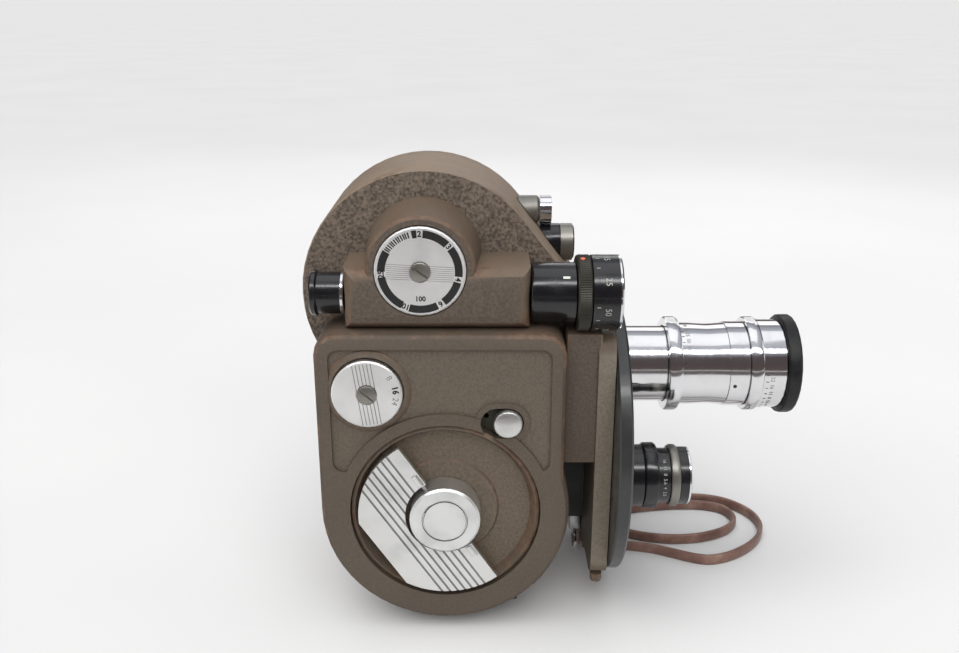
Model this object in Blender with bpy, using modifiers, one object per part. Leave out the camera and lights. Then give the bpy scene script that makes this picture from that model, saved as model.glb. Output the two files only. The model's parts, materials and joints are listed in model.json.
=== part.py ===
"""Spring-wound 16 mm cine camera with a lens turret, built as separate pieces.

Metres. +X points towards the lens, +Y towards the film door and +Z up. The origin is on the table, under
the winding key's axis. Every turned piece is a profile of (radius, height) pairs that runs from the top of
its outer side downwards, and its height runs along the direction that it is placed in.
"""

import math

import bmesh
import bpy
from mathutils import Vector

# Driving dimensions
GAP = 0.0003                      # clearance between touching pieces
WALL = 0.003                      # casing walls
LOBE_RADIUS = 0.056               # spool chambers, for daylight spools 92 mm across
LOWER_LOBE = (0.0, 0.062)         # X and Z of the take-up chamber, the mainspring and the winding key
UPPER_LOBE = (-0.0093, 0.155)     # X and Z of the supply chamber
WAIST_FILLET = 0.014              # hollow between the two lobes at the back
SLOPE_ANGLE = math.radians(37.5)  # where the straight slope leaves the upper lobe
BLOCK_FRONT = 0.0676              # front of the lens block
BLOCK_BOTTOM = 0.080
BODY_NEAR = -0.016                # film housing, from the motor side ...
BODY_FAR = 0.0327                 # ... to the door joint
DOOR_FAR = 0.045
DOME_ROUNDING = 0.008
MOTOR_NEAR = -0.052
MOTOR_FAR = BODY_NEAR - GAP
MOTOR_RADIUS = 0.0562
MOTOR_RIGHT = 0.0532
MOTOR_TOP = 0.1467
PANEL_DEPTH = 0.0015
DISH_RADIUS = 0.043
DISH_FLOOR = -0.046
KEY_HINGE_Y = -0.054
KEY_CHORD = Vector((0.56, 0.0, -0.83)).normalized()   # along the folding key's hinge
KEY_ACROSS = Vector((0.83, 0.0, 0.56)).normalized()   # from its wing towards its hinge
KEY_RADIUS = 0.039
HUB_RADIUS = 0.0158
SPEED_DIAL = (-0.0331, 0.1208)    # X, Z
START_BUTTON = (0.0279, 0.1059)   # X, Z
FINDER_AXIS = (-0.0335, 0.1603)   # Y, Z of the viewfinder's optical axis
PARALLAX_DIAL = (-0.0096, 0.1734) # X, Z
FRONT_PLATE = (0.0681, 0.0759)    # X of its back and front
TURRET = (0.0762, 0.0827)         # X of the disc's back and front
TURRET_AXIS = (0.007, 0.077)      # Y, Z
TURRET_RADIUS = 0.0685
PORT_CIRCLE = 0.033               # from the turret's axis to each lens axis
PORT_RADIUS = 0.013
PORT_ANGLES = {"long": math.radians(78), "normal": math.radians(198), "plug": math.radians(318)}
SPROCKET_AXIS = (0.022, 0.108)    # X, Z
FOCUSER_Y = 0.022
STRAP_Y = 0.008                   # lug and ring of the wrist strap
STRAP_RADIUS = 0.0027

PARTS = "cine_camera"
CUTTERS = "cutters"

# Base colour, roughness, metallic
MATERIALS = {
    "wrinkle_paint": ((0.19, 0.15, 0.115), 0.62, 0.0),
    "panel_paint": ((0.16, 0.125, 0.095), 0.66, 0.0),
    "black_enamel": ((0.012, 0.012, 0.013), 0.3, 0.0),
    "turret_grey": ((0.07, 0.072, 0.07), 0.42, 0.5),
    "brushed_silver": ((0.72, 0.72, 0.70), 0.33, 1.0),
    "chrome": ((0.82, 0.82, 0.83), 0.12, 1.0),
    "grey_metal": ((0.24, 0.235, 0.22), 0.45, 0.8),
    "steel": ((0.45, 0.45, 0.46), 0.35, 1.0),
    "brass": ((0.62, 0.45, 0.2), 0.35, 1.0),
    "lens_glass": ((0.05, 0.06, 0.09), 0.05, 0.0),
    "black_rubber": ((0.015, 0.015, 0.015), 0.7, 0.0),
    "strap_leather": ((0.13, 0.07, 0.05), 0.7, 0.0),
}


# ---- general shapes ----

def start_empty():
    for obj in list(bpy.data.objects):
        bpy.data.objects.remove(obj)
    for title in (PARTS, CUTTERS):
        collection = bpy.data.collections.new(title)
        bpy.context.scene.collection.children.link(collection)


def material(title):
    found = bpy.data.materials.get(title)
    if found:
        return found
    colour, roughness, metallic = MATERIALS[title]
    made = bpy.data.materials.new(title)
    made.use_nodes = True
    shader = made.node_tree.nodes["Principled BSDF"]
    shader.inputs["Base Color"].default_value = (*colour, 1.0)
    shader.inputs["Roughness"].default_value = roughness
    shader.inputs["Metallic"].default_value = metallic
    return made


def add_object(name, mesh, finish, place=(0, 0, 0)):
    """Links a mesh as a piece, shaded smooth with its sharp edges kept."""
    mesh.shade_smooth()
    mesh.set_sharp_from_angle(angle=math.radians(35))
    if finish:
        mesh.materials.append(material(finish))
    obj = bpy.data.objects.new(name, mesh)
    obj.location = place
    bpy.data.collections[PARTS].objects.link(obj)
    return obj


def as_tool(obj):
    """Hides a piece that only cuts or joins another one."""
    obj.hide_render = True
    obj.display_type = "WIRE"
    bpy.data.collections[PARTS].objects.unlink(obj)
    bpy.data.collections[CUTTERS].objects.link(obj)
    return obj


def combine(obj, tool, operation):
    step = obj.modifiers.new(f"{operation.lower()} {tool.name}", "BOOLEAN")
    step.operation = operation
    step.object = as_tool(tool)


def cut(obj, tool):
    combine(obj, tool, "DIFFERENCE")


def join(obj, tool):
    combine(obj, tool, "UNION")


def turned(name, profile, place, direction, finish=None, steps=28, ring=False):
    """A profile turned about its own axis. A ring's profile is a closed loop that doesn't touch the axis."""
    mesh = bpy.data.meshes.new(name)
    points = [(radius, 0, height) for radius, height in profile]
    edges = [(i, i + 1) for i in range(len(points) - 1)]
    if ring:
        edges.append((len(points) - 1, 0))
    mesh.from_pydata(points, edges, [])
    obj = add_object(name, mesh, finish, place)
    obj.rotation_euler = Vector((0, 0, 1)).rotation_difference(Vector(direction)).to_euler()
    screw = obj.modifiers.new("turn", "SCREW")
    screw.steps = screw.render_steps = steps
    screw.use_merge_vertices = True
    screw.merge_threshold = 0.00001
    screw.use_smooth_shade = True
    return obj


def disc(name, radius, thickness, place, direction, finish=None, steps=28):
    profile = [(0, thickness), (radius, thickness), (radius, 0), (0, 0)]
    return turned(name, profile, place, direction, finish, steps)


def tube(name, outer, inner, length, place, direction, finish=None, steps=28):
    profile = [(outer, length), (outer, 0), (inner, 0), (inner, length)]
    return turned(name, profile, place, direction, finish, steps, ring=True)


def box(name, low, high, finish=None, rounding=0.0):
    """A box between two corners, with its origin in its middle."""
    low, high = Vector(low), Vector(high)
    shape = bmesh.new()
    bmesh.ops.create_cube(shape, size=1.0)
    bmesh.ops.scale(shape, vec=high - low, verts=shape.verts)
    mesh = bpy.data.meshes.new(name)
    shape.to_mesh(mesh)
    shape.free()
    obj = add_object(name, mesh, finish, (low + high) / 2)
    if rounding:
        bevel = obj.modifiers.new("rounding", "BEVEL")
        bevel.width = rounding
        bevel.segments = 2
    return obj


def plate(name, outlines, facing, low, high, finish=None, place=(0, 0, 0)):
    """A flat plate from low to high along Y or X. The first outline is its edge and the others are holes.

    Outlines are measured from place, in X and Z for a plate facing Y, and in Y and Z for one facing X.
    """
    curve = bpy.data.curves.new(name, "CURVE")
    curve.dimensions = "2D"
    curve.fill_mode = "BOTH"
    curve.extrude = (high - low) / 2
    for outline in outlines:
        spline = curve.splines.new("POLY")
        spline.points.add(len(outline) - 1)
        spline.use_cyclic_u = True
        for point, (across, up) in zip(spline.points, outline):
            point.co = (across, up, 0, 1)
    guide = bpy.data.objects.new(name, curve)
    bpy.context.scene.collection.objects.link(guide)
    quarter = math.pi / 2
    guide.rotation_euler = (quarter, 0, 0) if facing == "Y" else (quarter, 0, quarter)
    middle = (low + high) / 2
    guide.location = (0, middle, 0) if facing == "Y" else (middle, 0, 0)
    bpy.context.view_layer.update()
    graph = bpy.context.evaluated_depsgraph_get()
    mesh = bpy.data.meshes.new_from_object(guide.evaluated_get(graph))
    mesh.transform(guide.matrix_world)
    bpy.data.objects.remove(guide)
    shape = bmesh.new()
    shape.from_mesh(mesh)
    bmesh.ops.remove_doubles(shape, verts=shape.verts, dist=0.000001)
    bmesh.ops.dissolve_limit(shape, angle_limit=0.001, verts=shape.verts, edges=shape.edges)
    bmesh.ops.recalc_face_normals(shape, faces=shape.faces)
    shape.to_mesh(mesh)
    shape.free()
    mesh.name = name
    mesh.materials.clear()
    return add_object(name, mesh, finish, place)


def round_edges(obj, width, segments, chosen):
    """Rounds the edges whose two ends both pass the test chosen(point)."""
    shape = bmesh.new()
    shape.from_mesh(obj.data)
    edges = [edge for edge in shape.edges if all(chosen(vert.co) for vert in edge.verts)]
    bmesh.ops.bevel(shape, geom=edges, offset=width, offset_type="OFFSET", segments=segments,
                    profile=0.5, affect="EDGES", clamp_overlap=True)
    shape.to_mesh(obj.data)
    shape.free()
    obj.data.shade_smooth()
    obj.data.set_sharp_from_angle(angle=math.radians(35))


def arc(centre, radius, start, end, steps):
    """Points along an arc, both ends included. Angles are in radians, anticlockwise from the first axis."""
    turns = [start + (end - start) * i / steps for i in range(steps + 1)]
    return [(centre[0] + radius * math.cos(a), centre[1] + radius * math.sin(a)) for a in turns]


def circle(radius, steps=32, centre=(0, 0)):
    return arc(centre, radius, 0, math.tau * (steps - 1) / steps, steps - 1)


def rounded(corners, radius, steps=4):
    """A polygon with each of its corners replaced by an arc."""
    points = []
    for i, corner in enumerate(corners):
        here = Vector(corner)
        before = (Vector(corners[i - 1]) - here).normalized()
        after = (Vector(corners[(i + 1) % len(corners)]) - here).normalized()
        half = before.angle(after) / 2
        centre = here + (before + after).normalized() * radius / math.sin(half)
        first = here + before * radius / math.tan(half) - centre
        last = here + after * radius / math.tan(half) - centre
        sweep = first.angle_signed(last)
        for step in range(steps + 1):
            turn = -sweep * step / steps
            points.append((centre.x + first.x * math.cos(turn) - first.y * math.sin(turn),
                           centre.y + first.x * math.sin(turn) + first.y * math.cos(turn)))
    return points


def rectangle(low, high):
    return [(low[0], low[1]), (high[0], low[1]), (high[0], high[1]), (low[0], high[1])]


def stadium(length, width, centre, steps=8):
    """A slot with round ends that runs along the first axis."""
    reach = (length - width) / 2
    quarter = math.pi / 2
    right = arc((centre[0] + reach, centre[1]), width / 2, -quarter, quarter, steps)
    left = arc((centre[0] - reach, centre[1]), width / 2, quarter, 3 * quarter, steps)
    return right + left


def slotted_screw(name, radius, thickness, place, direction, slot_angle, finish):
    """A flat screw head with a straight slot."""
    head = turned(name, [(0, thickness), (radius * 0.85, thickness), (radius, thickness * 0.7), (radius, 0), (0, 0)],
                  place, direction, finish, steps=24)
    slot = box(f"{name}_slot", (-radius * 1.2, -radius * 0.1, thickness * 0.55),
               (radius * 1.2, radius * 0.1, thickness * 1.5))
    # The slot is shaped in the head's own frame, then laid on it.
    facing = Vector((0, 0, 1)).rotation_difference(Vector(direction))
    centre = slot.location.copy()
    slot.location = Vector(place) + facing @ centre
    spin = Vector((1, 0, 0)).rotation_difference(Vector((math.cos(slot_angle), math.sin(slot_angle), 0)))
    slot.rotation_euler = (facing @ spin).to_euler()
    cut(head, slot)
    return head


# ---- outlines ----

def film_outline(inset=0.0):
    """The film housing's edge: two round lobes, a slope and the lens block, moved inwards by inset."""
    radius = LOBE_RADIUS - inset
    right = BLOCK_FRONT - inset
    low = BLOCK_BOTTOM + inset
    slope_foot = UPPER_LOBE[1] + (radius - math.cos(SLOPE_ANGLE) * (right - UPPER_LOBE[0])) / math.sin(SLOPE_ANGLE)
    upper, lower = Vector(UPPER_LOBE), Vector(LOWER_LOBE)
    between = lower - upper
    reach = LOBE_RADIUS + WAIST_FILLET
    sideways = math.sqrt(reach ** 2 - (between.length / 2) ** 2)
    waist = (upper + lower) / 2 + Vector((between.y, -between.x)).normalized() * sideways

    def towards(start, end):
        return math.atan2(end.y - start.y, end.x - start.x)

    upper_end = towards(upper, waist) % math.tau
    lower_start = towards(lower, waist)
    lower_end = math.tau + math.asin((low - LOWER_LOBE[1]) / radius)
    hollow = arc(waist, WAIST_FILLET + inset, towards(waist, upper), towards(waist, lower), 5)
    return ([(right, low), (right, slope_foot)]
            + arc(upper, radius, SLOPE_ANGLE, upper_end, 28)
            + hollow[1:-1]
            + arc(lower, radius, lower_start, lower_end, 34))


def motor_outline(inset=0.0):
    """The motor housing's edge: a round bottom about the winding axis under a square top."""
    radius = MOTOR_RADIUS - inset
    right = MOTOR_RIGHT - inset
    top = MOTOR_TOP - inset
    corner = 0.010 - inset
    join_angle = math.acos(right / radius)
    quarter = math.pi / 2
    return (arc(LOWER_LOBE, radius, -math.pi, join_angle, 32)
            + arc((right - corner, top - corner), corner, 0, quarter, 4)
            + arc((corner - radius, top - corner), corner, quarter, math.pi, 4))


def gear_outline(teeth, tip, root, phase):
    """A gear's edge. Each tooth is a trapezoid and one of them points along the angle phase."""
    points = []
    for tooth in range(teeth):
        for share, radius in ((-0.29, root), (-0.11, tip), (0.11, tip), (0.29, root)):
            angle = phase + math.tau * (tooth + share) / teeth
            points.append((radius * math.cos(angle), radius * math.sin(angle)))
    return points


def port_centre(lens):
    """Y and Z of a turret port."""
    angle = PORT_ANGLES[lens]
    return (TURRET_AXIS[0] + PORT_CIRCLE * math.cos(angle), TURRET_AXIS[1] + PORT_CIRCLE * math.sin(angle))


# ---- casings ----

def make_body_shell():
    """The film housing's casing: closed on the motor side, open on the door side."""
    shell = plate("body_shell", [film_outline()], "Y", BODY_NEAR, BODY_FAR, "wrinkle_paint")
    dome_foot = 0.146
    round_edges(shell, DOME_ROUNDING, 3, lambda p: p.y < BODY_NEAR + 0.001 and p.z > dome_foot)
    cut(shell, plate("film_chamber", [film_outline(WALL)], "Y", BODY_NEAR + WALL, BODY_FAR + 0.01))
    cut(shell, disc("sprocket_shaft_hole", 0.0042, 0.01, (SPROCKET_AXIS[0], BODY_NEAR - 0.003, SPROCKET_AXIS[1]),
                    (0, 1, 0), steps=20))
    taking = port_centre("long")
    cut(shell, disc("light_hole", 0.012, 0.01, (BLOCK_FRONT - 0.006, *taking), (1, 0, 0), steps=28))


def make_film_door():
    """The lift-off cover over both spools."""
    near = BODY_FAR + GAP
    door = plate("film_door", [film_outline()], "Y", near, DOOR_FAR, "wrinkle_paint")
    round_edges(door, 0.007, 3, lambda p: p.y > DOOR_FAR - 0.001)
    cut(door, plate("door_hollow", [film_outline(WALL)], "Y", near - 0.005, DOOR_FAR - WALL))
    for label, (x, z) in latch_centres().items():
        cut(door, disc(f"latch_hole_{label}", 0.0034, 0.01, (x, DOOR_FAR - 0.006, z), (0, 1, 0), steps=20))


def latch_centres():
    return {"upper": UPPER_LOBE, "lower": LOWER_LOBE}


def make_door_latches():
    """Round latches with a finger bar, one on each lobe."""
    for label, (x, z) in latch_centres().items():
        name = f"door_latch_{label}"
        face = DOOR_FAR + GAP
        latch = turned(name, [(0, 0.0035), (0.0105, 0.0035), (0.0115, 0.0025), (0.0115, 0), (0.003, 0),
                              (0.003, -0.007), (0, -0.007)], (x, face, z), (0, 1, 0), "brushed_silver", 20)
        join(latch, box(f"{name}_bar", (x - 0.0095, face + 0.003, z - 0.0018),
                        (x + 0.0095, face + 0.0075, z + 0.0018), rounding=0.0008))


def make_motor_housing():
    """The winding-side casing: a tray with a raised rim, a round opening and a sunk panel, open at its back."""
    housing = plate("motor_housing", [motor_outline()], "Y", MOTOR_NEAR, MOTOR_FAR, "wrinkle_paint")
    round_edges(housing, 0.0035, 3, lambda p: p.y < MOTOR_NEAR + 0.001)
    cut(housing, plate("motor_hollow", [motor_outline(WALL)], "Y", MOTOR_NEAR + WALL, MOTOR_FAR + 0.01))
    # The panel ends at a raised ring round the dish.
    ring = DISH_RADIUS + 0.0055
    border = 0.0065
    side = math.radians(25)
    low = LOWER_LOBE[1] + ring * math.sin(side)
    right, left, top = MOTOR_RIGHT - border, border - MOTOR_RADIUS, MOTOR_TOP - border
    panel = rounded(rectangle((left, low), (right, top)), 0.0045)
    cutter = plate("panel_recess", [panel], "Y", MOTOR_NEAR - 0.01, MOTOR_NEAR + PANEL_DEPTH)
    cut(cutter, disc("ring_stock", ring, 0.03, (LOWER_LOBE[0], MOTOR_NEAR - 0.02, LOWER_LOBE[1]), (0, 1, 0), steps=48))
    cut(housing, cutter)
    panel_face = MOTOR_NEAR + PANEL_DEPTH
    x, z = START_BUTTON
    slot_centre = (x - 0.0025, z)
    rim = plate("button_rim", [stadium(0.0245, 0.0190, slot_centre)], "Y", panel_face - 0.0010, panel_face + 0.001)
    join(housing, rim)
    cut(housing, plate("button_slot", [stadium(0.0192, 0.0140, slot_centre)], "Y", MOTOR_NEAR - 0.01,
                       MOTOR_NEAR + 0.01))
    cut(housing, disc("dish_opening", DISH_RADIUS, 0.02, (LOWER_LOBE[0], MOTOR_NEAR - 0.01, LOWER_LOBE[1]),
                      (0, 1, 0), steps=48))
    cut(housing, disc("dial_hole", 0.0034, 0.02, (SPEED_DIAL[0], MOTOR_NEAR - 0.01, SPEED_DIAL[1]),
                      (0, 1, 0), steps=20))


def make_barrel_cover():
    """The dished cover over the mainspring barrel, stepped about the winding arbor."""
    deep = DISH_FLOOR - MOTOR_NEAR - 0.0008
    thick = 0.0018
    outer = DISH_RADIUS - GAP
    profile = [(outer - 0.0018, deep), (outer, deep - 0.0012), (outer, -thick), (0.0043, -thick), (0.0043, 0.0010),
               (0.0235, 0.0010), (0.0243, 0.0), (0.0385, 0.0)]
    turned("barrel_cover", profile, (LOWER_LOBE[0], DISH_FLOOR, LOWER_LOBE[1]), (0, -1, 0), "wrinkle_paint", 40,
           ring=True)


def make_base_pad():
    """The flat foot under the round housings, with the tripod socket in it."""
    pad = box("base_pad", (-0.032, -0.028, 0.0), (0.034, 0.038, 0.0155), "wrinkle_paint")
    socket = (0.020, 0.005)
    cut(pad, disc("lobe_clearance", MOTOR_RADIUS + GAP, 0.12, (LOWER_LOBE[0], -0.06, LOWER_LOBE[1]), (0, 1, 0),
                  steps=72))
    cut(pad, disc("tripod_socket", 0.00318, 0.008, (*socket, -0.001), (0, 0, 1), steps=20))


def make_front_plate():
    """The thick plate that carries the turret, with the taking port and the pivot's hole.

    Behind it, a web closes the gap to the lower lobe and a shoulder fills the side of the lens block.
    """
    low, high = (-0.040, 0.020), (0.050, 0.141)
    holes = [circle(PORT_RADIUS + 0.0005, 28, port_centre("long")), circle(0.0052, 20, TURRET_AXIS)]
    front = plate("front_plate", [rounded(rectangle(low, high), 0.009), *holes], "X", *FRONT_PLATE,
                  "wrinkle_paint")
    back = FRONT_PLATE[0]
    web = plate("front_plate_web", [rectangle((back - 0.012, 0.0305), (back + 0.002, BLOCK_BOTTOM - 0.0005))],
                "Y", 0.0, 0.030)
    cut(web, disc("web_clearance", LOBE_RADIUS + 0.0008, 0.1, (LOWER_LOBE[0], -0.02, LOWER_LOBE[1]), (0, 1, 0),
                  steps=72))
    cut(web, disc("pivot_room", 0.0056, 0.003, (back - GAP, *TURRET_AXIS), (1, 0, 0), steps=20))
    join(front, web)
    shoulder_near, shoulder_far, shoulder_top = -0.0385, MOTOR_FAR, 0.1428
    join(front, box("front_plate_shoulder", (MOTOR_RIGHT + 0.0006, shoulder_near, BLOCK_BOTTOM),
                    (back + 0.002, shoulder_far, shoulder_top), rounding=0.0012))
    slotted_screw("front_plate_screw", 0.0028, 0.0042, (0.0715, -0.034, low[1] - GAP), (0, 0, -1), 0.4, "steel")


# ---- viewfinder ----

def make_finder_casting():
    """The finder's block and the round boss that carries the parallax dial."""
    back = BODY_NEAR - GAP
    casting = box("finder_casting", (-0.0428, -0.047, MOTOR_TOP + 0.0005), (0.0373, back, 0.1742), "wrinkle_paint")
    near_face = -0.047 - casting.location.y + 0.001
    round_edges(casting, 0.0065, 3, lambda p: p.y < near_face)
    x, z = PARALLAX_DIAL
    rise = back + 0.046
    join(casting, turned("finder_boss", [(0, rise), (0.0222, rise), (0.0235, rise - 0.0015), (0.026, 0), (0, 0)],
                         (x, back, z), (0, -1, 0), steps=40))
    cut(casting, disc("dial_recess", 0.0199, 0.02, (x, -0.0448, z), (0, -1, 0), steps=36))
    cut(casting, disc("dial_shaft_hole", 0.0026, 0.02, (x, -0.0400, z), (0, -1, 0), steps=12))
    cut(casting, disc("sight_bore", 0.009, 0.1, (-0.05, *FINDER_AXIS), (1, 0, 0), steps=24))


def make_finder_optics():
    """The eyepiece, the front tube, its turning drum and the two glasses."""
    y, z = FINDER_AXIS
    turned("finder_eyepiece", [(0.0090, 0.0152), (0.0101, 0.0142), (0.0101, 0.0124), (0.0092, 0.0116), (0.0092, 0),
                               (0.0055, 0), (0.0055, 0.0118), (0.0066, 0.0118), (0.0066, 0.0152)],
           (-0.0431, y, z), (-1, 0, 0), "black_enamel", 24, ring=True)
    disc("finder_rear_glass", 0.0063, 0.0012, (-0.0431 - 0.0121, y, z), (-1, 0, 0), "lens_glass", 24)
    turned("finder_tube", [(0.0098, 0.0258), (0.0098, 0.0193), (0.0133, 0.0193), (0.0133, 0.0012), (0.0125, 0),
                           (0.0085, 0), (0.0085, 0.0258)], (0.0376, y, z), (1, 0, 0), "black_enamel", 28, ring=True)
    turned("finder_drum", [(0.0160, 0.0061), (0.01665, 0.0053), (0.01665, 0.0008), (0.0160, 0), (0.0101, 0),
                           (0.0101, 0.0061)], (0.0573, y, z), (1, 0, 0), "grey_metal", 28, ring=True)
    turned("finder_objective", [(0.0160, 0.0126), (0.01665, 0.0119), (0.01665, 0), (0.0101, 0), (0.0101, 0.0045),
                                (0.0125, 0.0045), (0.0132, 0.0126)], (0.0637, y, z), (1, 0, 0), "black_enamel", 28,
           ring=True)
    turned("finder_front_glass", [(0, 0.0034), (0.0060, 0.0029), (0.0118, 0.0014), (0.0118, 0), (0, 0)],
           (0.0686, y, z), (1, 0, 0), "lens_glass", 20)


def make_parallax_dial():
    x, z = PARALLAX_DIAL
    face = 0.0024
    turned("parallax_dial", [(0, face - 0.0008), (0.0046, face - 0.0008), (0.0046, face), (0.0188, face),
                             (0.0194, face - 0.0006), (0.0194, 0), (0.0023, 0), (0.0023, -0.0045), (0, -0.0045)],
           (x, -0.0451, z), (0, -1, 0), "brushed_silver", 36)
    slotted_screw("parallax_dial_screw", 0.0043, 0.0014, (x, -0.0451 - face + 0.0005, z), (0, -1, 0),
                  math.radians(-35), "grey_metal")


# ---- winding key ----

def make_winder():
    """The hub that turns with the arbor, and the hinge pin through it."""
    base = DISH_FLOOR - 0.0014
    rise = 0.0121
    hub = turned("winding_hub", [(0, rise), (0.0094, rise), (0.0096, rise - 0.0006), (0.0101, rise - 0.0006),
                                 (0.0103, rise), (0.0148, rise), (HUB_RADIUS, rise - 0.0009), (HUB_RADIUS, 0),
                                 (0.0042, 0), (0.0042, 0.0035), (0, 0.0035)],
                 (0, base, LOWER_LOBE[1]), (0, -1, 0), "brushed_silver", 32)
    hinge = Vector((LOWER_LOBE[0], KEY_HINGE_Y, LOWER_LOBE[1]))
    bore_reach = 0.020
    cut(hub, disc("pin_bore", 0.0012, 2 * bore_reach, hinge - KEY_CHORD * bore_reach, KEY_CHORD, steps=16))
    arbor_back = -0.0175
    disc("winding_arbor", 0.0039, arbor_back - (base - 0.0032), (0, arbor_back, LOWER_LOBE[1]), (0, -1, 0), "steel", 20)
    pin_reach = 0.0235
    disc("key_hinge_pin", 0.0009, 2 * pin_reach, hinge - KEY_CHORD * pin_reach, KEY_CHORD, "steel", 16)


def make_winding_key():
    """The folding wing: a round segment with a notch for the hub, on two knuckles."""
    hinge = (LOWER_LOBE[0], KEY_HINGE_Y, LOWER_LOBE[1])
    edge = 0.0020
    far = 0.0343
    notch = 0.018
    wide = math.acos(-far / KEY_RADIUS) - math.pi / 2
    near = math.asin(edge / KEY_RADIUS)
    notch_near = math.asin(edge / notch)

    # First in the key's own frame, along the hinge and across it, then turned into X and Z.
    flat = (arc((0, 0), KEY_RADIUS, -wide, near, 12)
            + arc((0, 0), notch, notch_near, -math.pi - notch_near, 16)
            + arc((0, 0), KEY_RADIUS, -math.pi - near, wide - math.pi, 12))
    outline = [(KEY_CHORD.x * along + KEY_ACROSS.x * across, KEY_CHORD.z * along + KEY_ACROSS.z * across)
               for along, across in flat]
    half = 0.00125
    key = plate("winding_key", [outline], "Y", -half, half, "brushed_silver", hinge)
    centre = Vector(hinge)
    start, length = 0.0185, 0.0058
    for side in (1, -1):
        knuckle = disc(f"key_knuckle_{side}", 0.0020, length, centre + KEY_CHORD * start * side, KEY_CHORD * side,
                       steps=16)
        join(key, knuckle)
    reach = 0.0255
    cut(key, disc("knuckle_bore", 0.0012, 2 * reach, centre - KEY_CHORD * reach, KEY_CHORD, steps=16))


# ---- controls ----

def make_speed_dial():
    x, z = SPEED_DIAL
    back, face = MOTOR_NEAR + 0.0010, 0.0040
    turned("speed_dial", [(0, face - 0.0008), (0.0046, face - 0.0008), (0.0046, face), (0.0148, face),
                          (0.0154, face - 0.0006), (0.0154, 0), (0.0030, 0), (0.0030, -0.0045), (0, -0.0045)],
           (x, back, z), (0, -1, 0), "brushed_silver", 32)
    slotted_screw("speed_dial_screw", 0.0043, 0.0014, (x, back - face + 0.0005, z), (0, -1, 0), math.radians(-42),
                  "grey_metal")


def make_start_button():
    """The release button, which presses in, on a slide that moves it along its slot to lock it."""
    x, z = START_BUTTON
    turned("start_button", [(0, 0.0052), (0.0042, 0.0050), (0.0060, 0.0042), (0.0065, 0.0032), (0.0065, 0), (0.0025, 0),
                            (0.0025, -0.0085), (0, -0.0085)], (x, -0.0494, z), (0, -1, 0), "chrome", 20)
    half_width, half_height = 0.014, 0.0075
    outline = rounded(rectangle((-half_width, -half_height), (half_width, half_height)), 0.003)
    plate("lock_slide", [outline, circle(0.0029, 16)], "Y", -0.0008, 0.0007, "steel", (x, -0.0422, z))


# ---- spring motor ----

def make_mainspring():
    """The barrel, its gear and the coiled spring inside it."""
    centre = (0, 0, LOWER_LOBE[1])
    disc_y = -0.0220
    depth = 0.018
    radius, wall, bore = 0.036, 0.0015, 0.0043
    turned("spring_barrel", [(radius, depth), (radius, 0), (bore, 0), (bore, wall), (radius - wall, wall),
                             (radius - wall, depth)], (0, disc_y, LOWER_LOBE[1]), (0, -1, 0), "steel", 32, ring=True)
    towards_sprocket = math.atan2(SPROCKET_AXIS[1] - LOWER_LOBE[1], SPROCKET_AXIS[0] - LOWER_LOBE[0])
    plate("barrel_gear", [gear_outline(36, 0.0398, 0.0363, towards_sprocket), circle(bore, 20)], "Y", -0.0216,
          -0.0192, "brass", centre)
    plate("idler_gear", [gear_outline(12, 0.0143, 0.0108, towards_sprocket + math.pi + math.tau / 24),
                         circle(0.0039, 16)], "Y", -0.0216, -0.0192, "brass", (SPROCKET_AXIS[0], 0, SPROCKET_AXIS[1]))
    turns, steps = 3.5, 14
    inner, outer, thick = 0.0085, 0.0325, 0.0008
    count = int(turns * steps)
    angles = [math.tau * i / steps for i in range(count + 1)]
    radii = [inner + (outer - inner) * i / count for i in range(count + 1)]
    outside = [((r + thick) * math.cos(a), (r + thick) * math.sin(a)) for r, a in zip(radii, angles)]
    inside = [(r * math.cos(a), r * math.sin(a)) for r, a in zip(radii, angles)]
    plate("mainspring", [outside + inside[::-1]], "Y", -0.0375, -0.0240, "steel", centre)


def make_governor():
    """The speed governor's spindle with its friction disc and fly-weights' ring."""
    turned("governor", [(0, 0.040), (0.0020, 0.040), (0.0020, 0.032), (0.0110, 0.032), (0.0110, 0.030),
                        (0.0030, 0.030), (0.0030, 0.022), (0.0075, 0.019), (0.0075, 0.015), (0.0030, 0.012),
                        (0.0020, 0), (0, 0)], (-0.020, -0.032, 0.1285), (1, 0, 0), "brass", 18)


# ---- film transport ----

def make_mechanism_plate():
    """The wall between the mechanism and the film chamber."""
    holes = [circle(0.0043, 20, place) for place in (UPPER_LOBE, LOWER_LOBE)]
    wall = plate("mechanism_plate", [film_outline(WALL + 0.0005), *holes, circle(0.0040, 20, SPROCKET_AXIS)], "Y",
                 0.0020, 0.0044, "grey_metal")
    cut(wall, box("gate_room", (0.049, -0.01, 0.05), (0.09, 0.02, 0.19)))


def make_spindles():
    for label, (x, z) in {"supply": UPPER_LOBE, "takeup": LOWER_LOBE}.items():
        turned(f"{label}_spindle", [(0, 0.030), (0.0030, 0.030), (0.0039, 0.0285), (0.0039, 0.0121), (0.0080, 0.0121),
                                    (0.0080, 0.0107), (0.0039, 0.0107), (0.0039, 0), (0, 0)],
               (x, -0.006, z), (0, 1, 0), "steel", 16)


def make_sprocket():
    x, z = SPROCKET_AXIS
    disc("sprocket_shaft", 0.0036, 0.047, (x, -0.0230, z), (0, 1, 0), "steel", 20)
    turned("feed_sprocket", [(0.0112, 0.0160), (0.0112, 0.0132), (0.0094, 0.0132), (0.0094, 0.0028), (0.0112, 0.0028),
                             (0.0112, 0), (0.0039, 0), (0.0039, 0.0160)], (x, 0.0061, z), (0, 1, 0), "steel", 24,
           ring=True)


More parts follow.
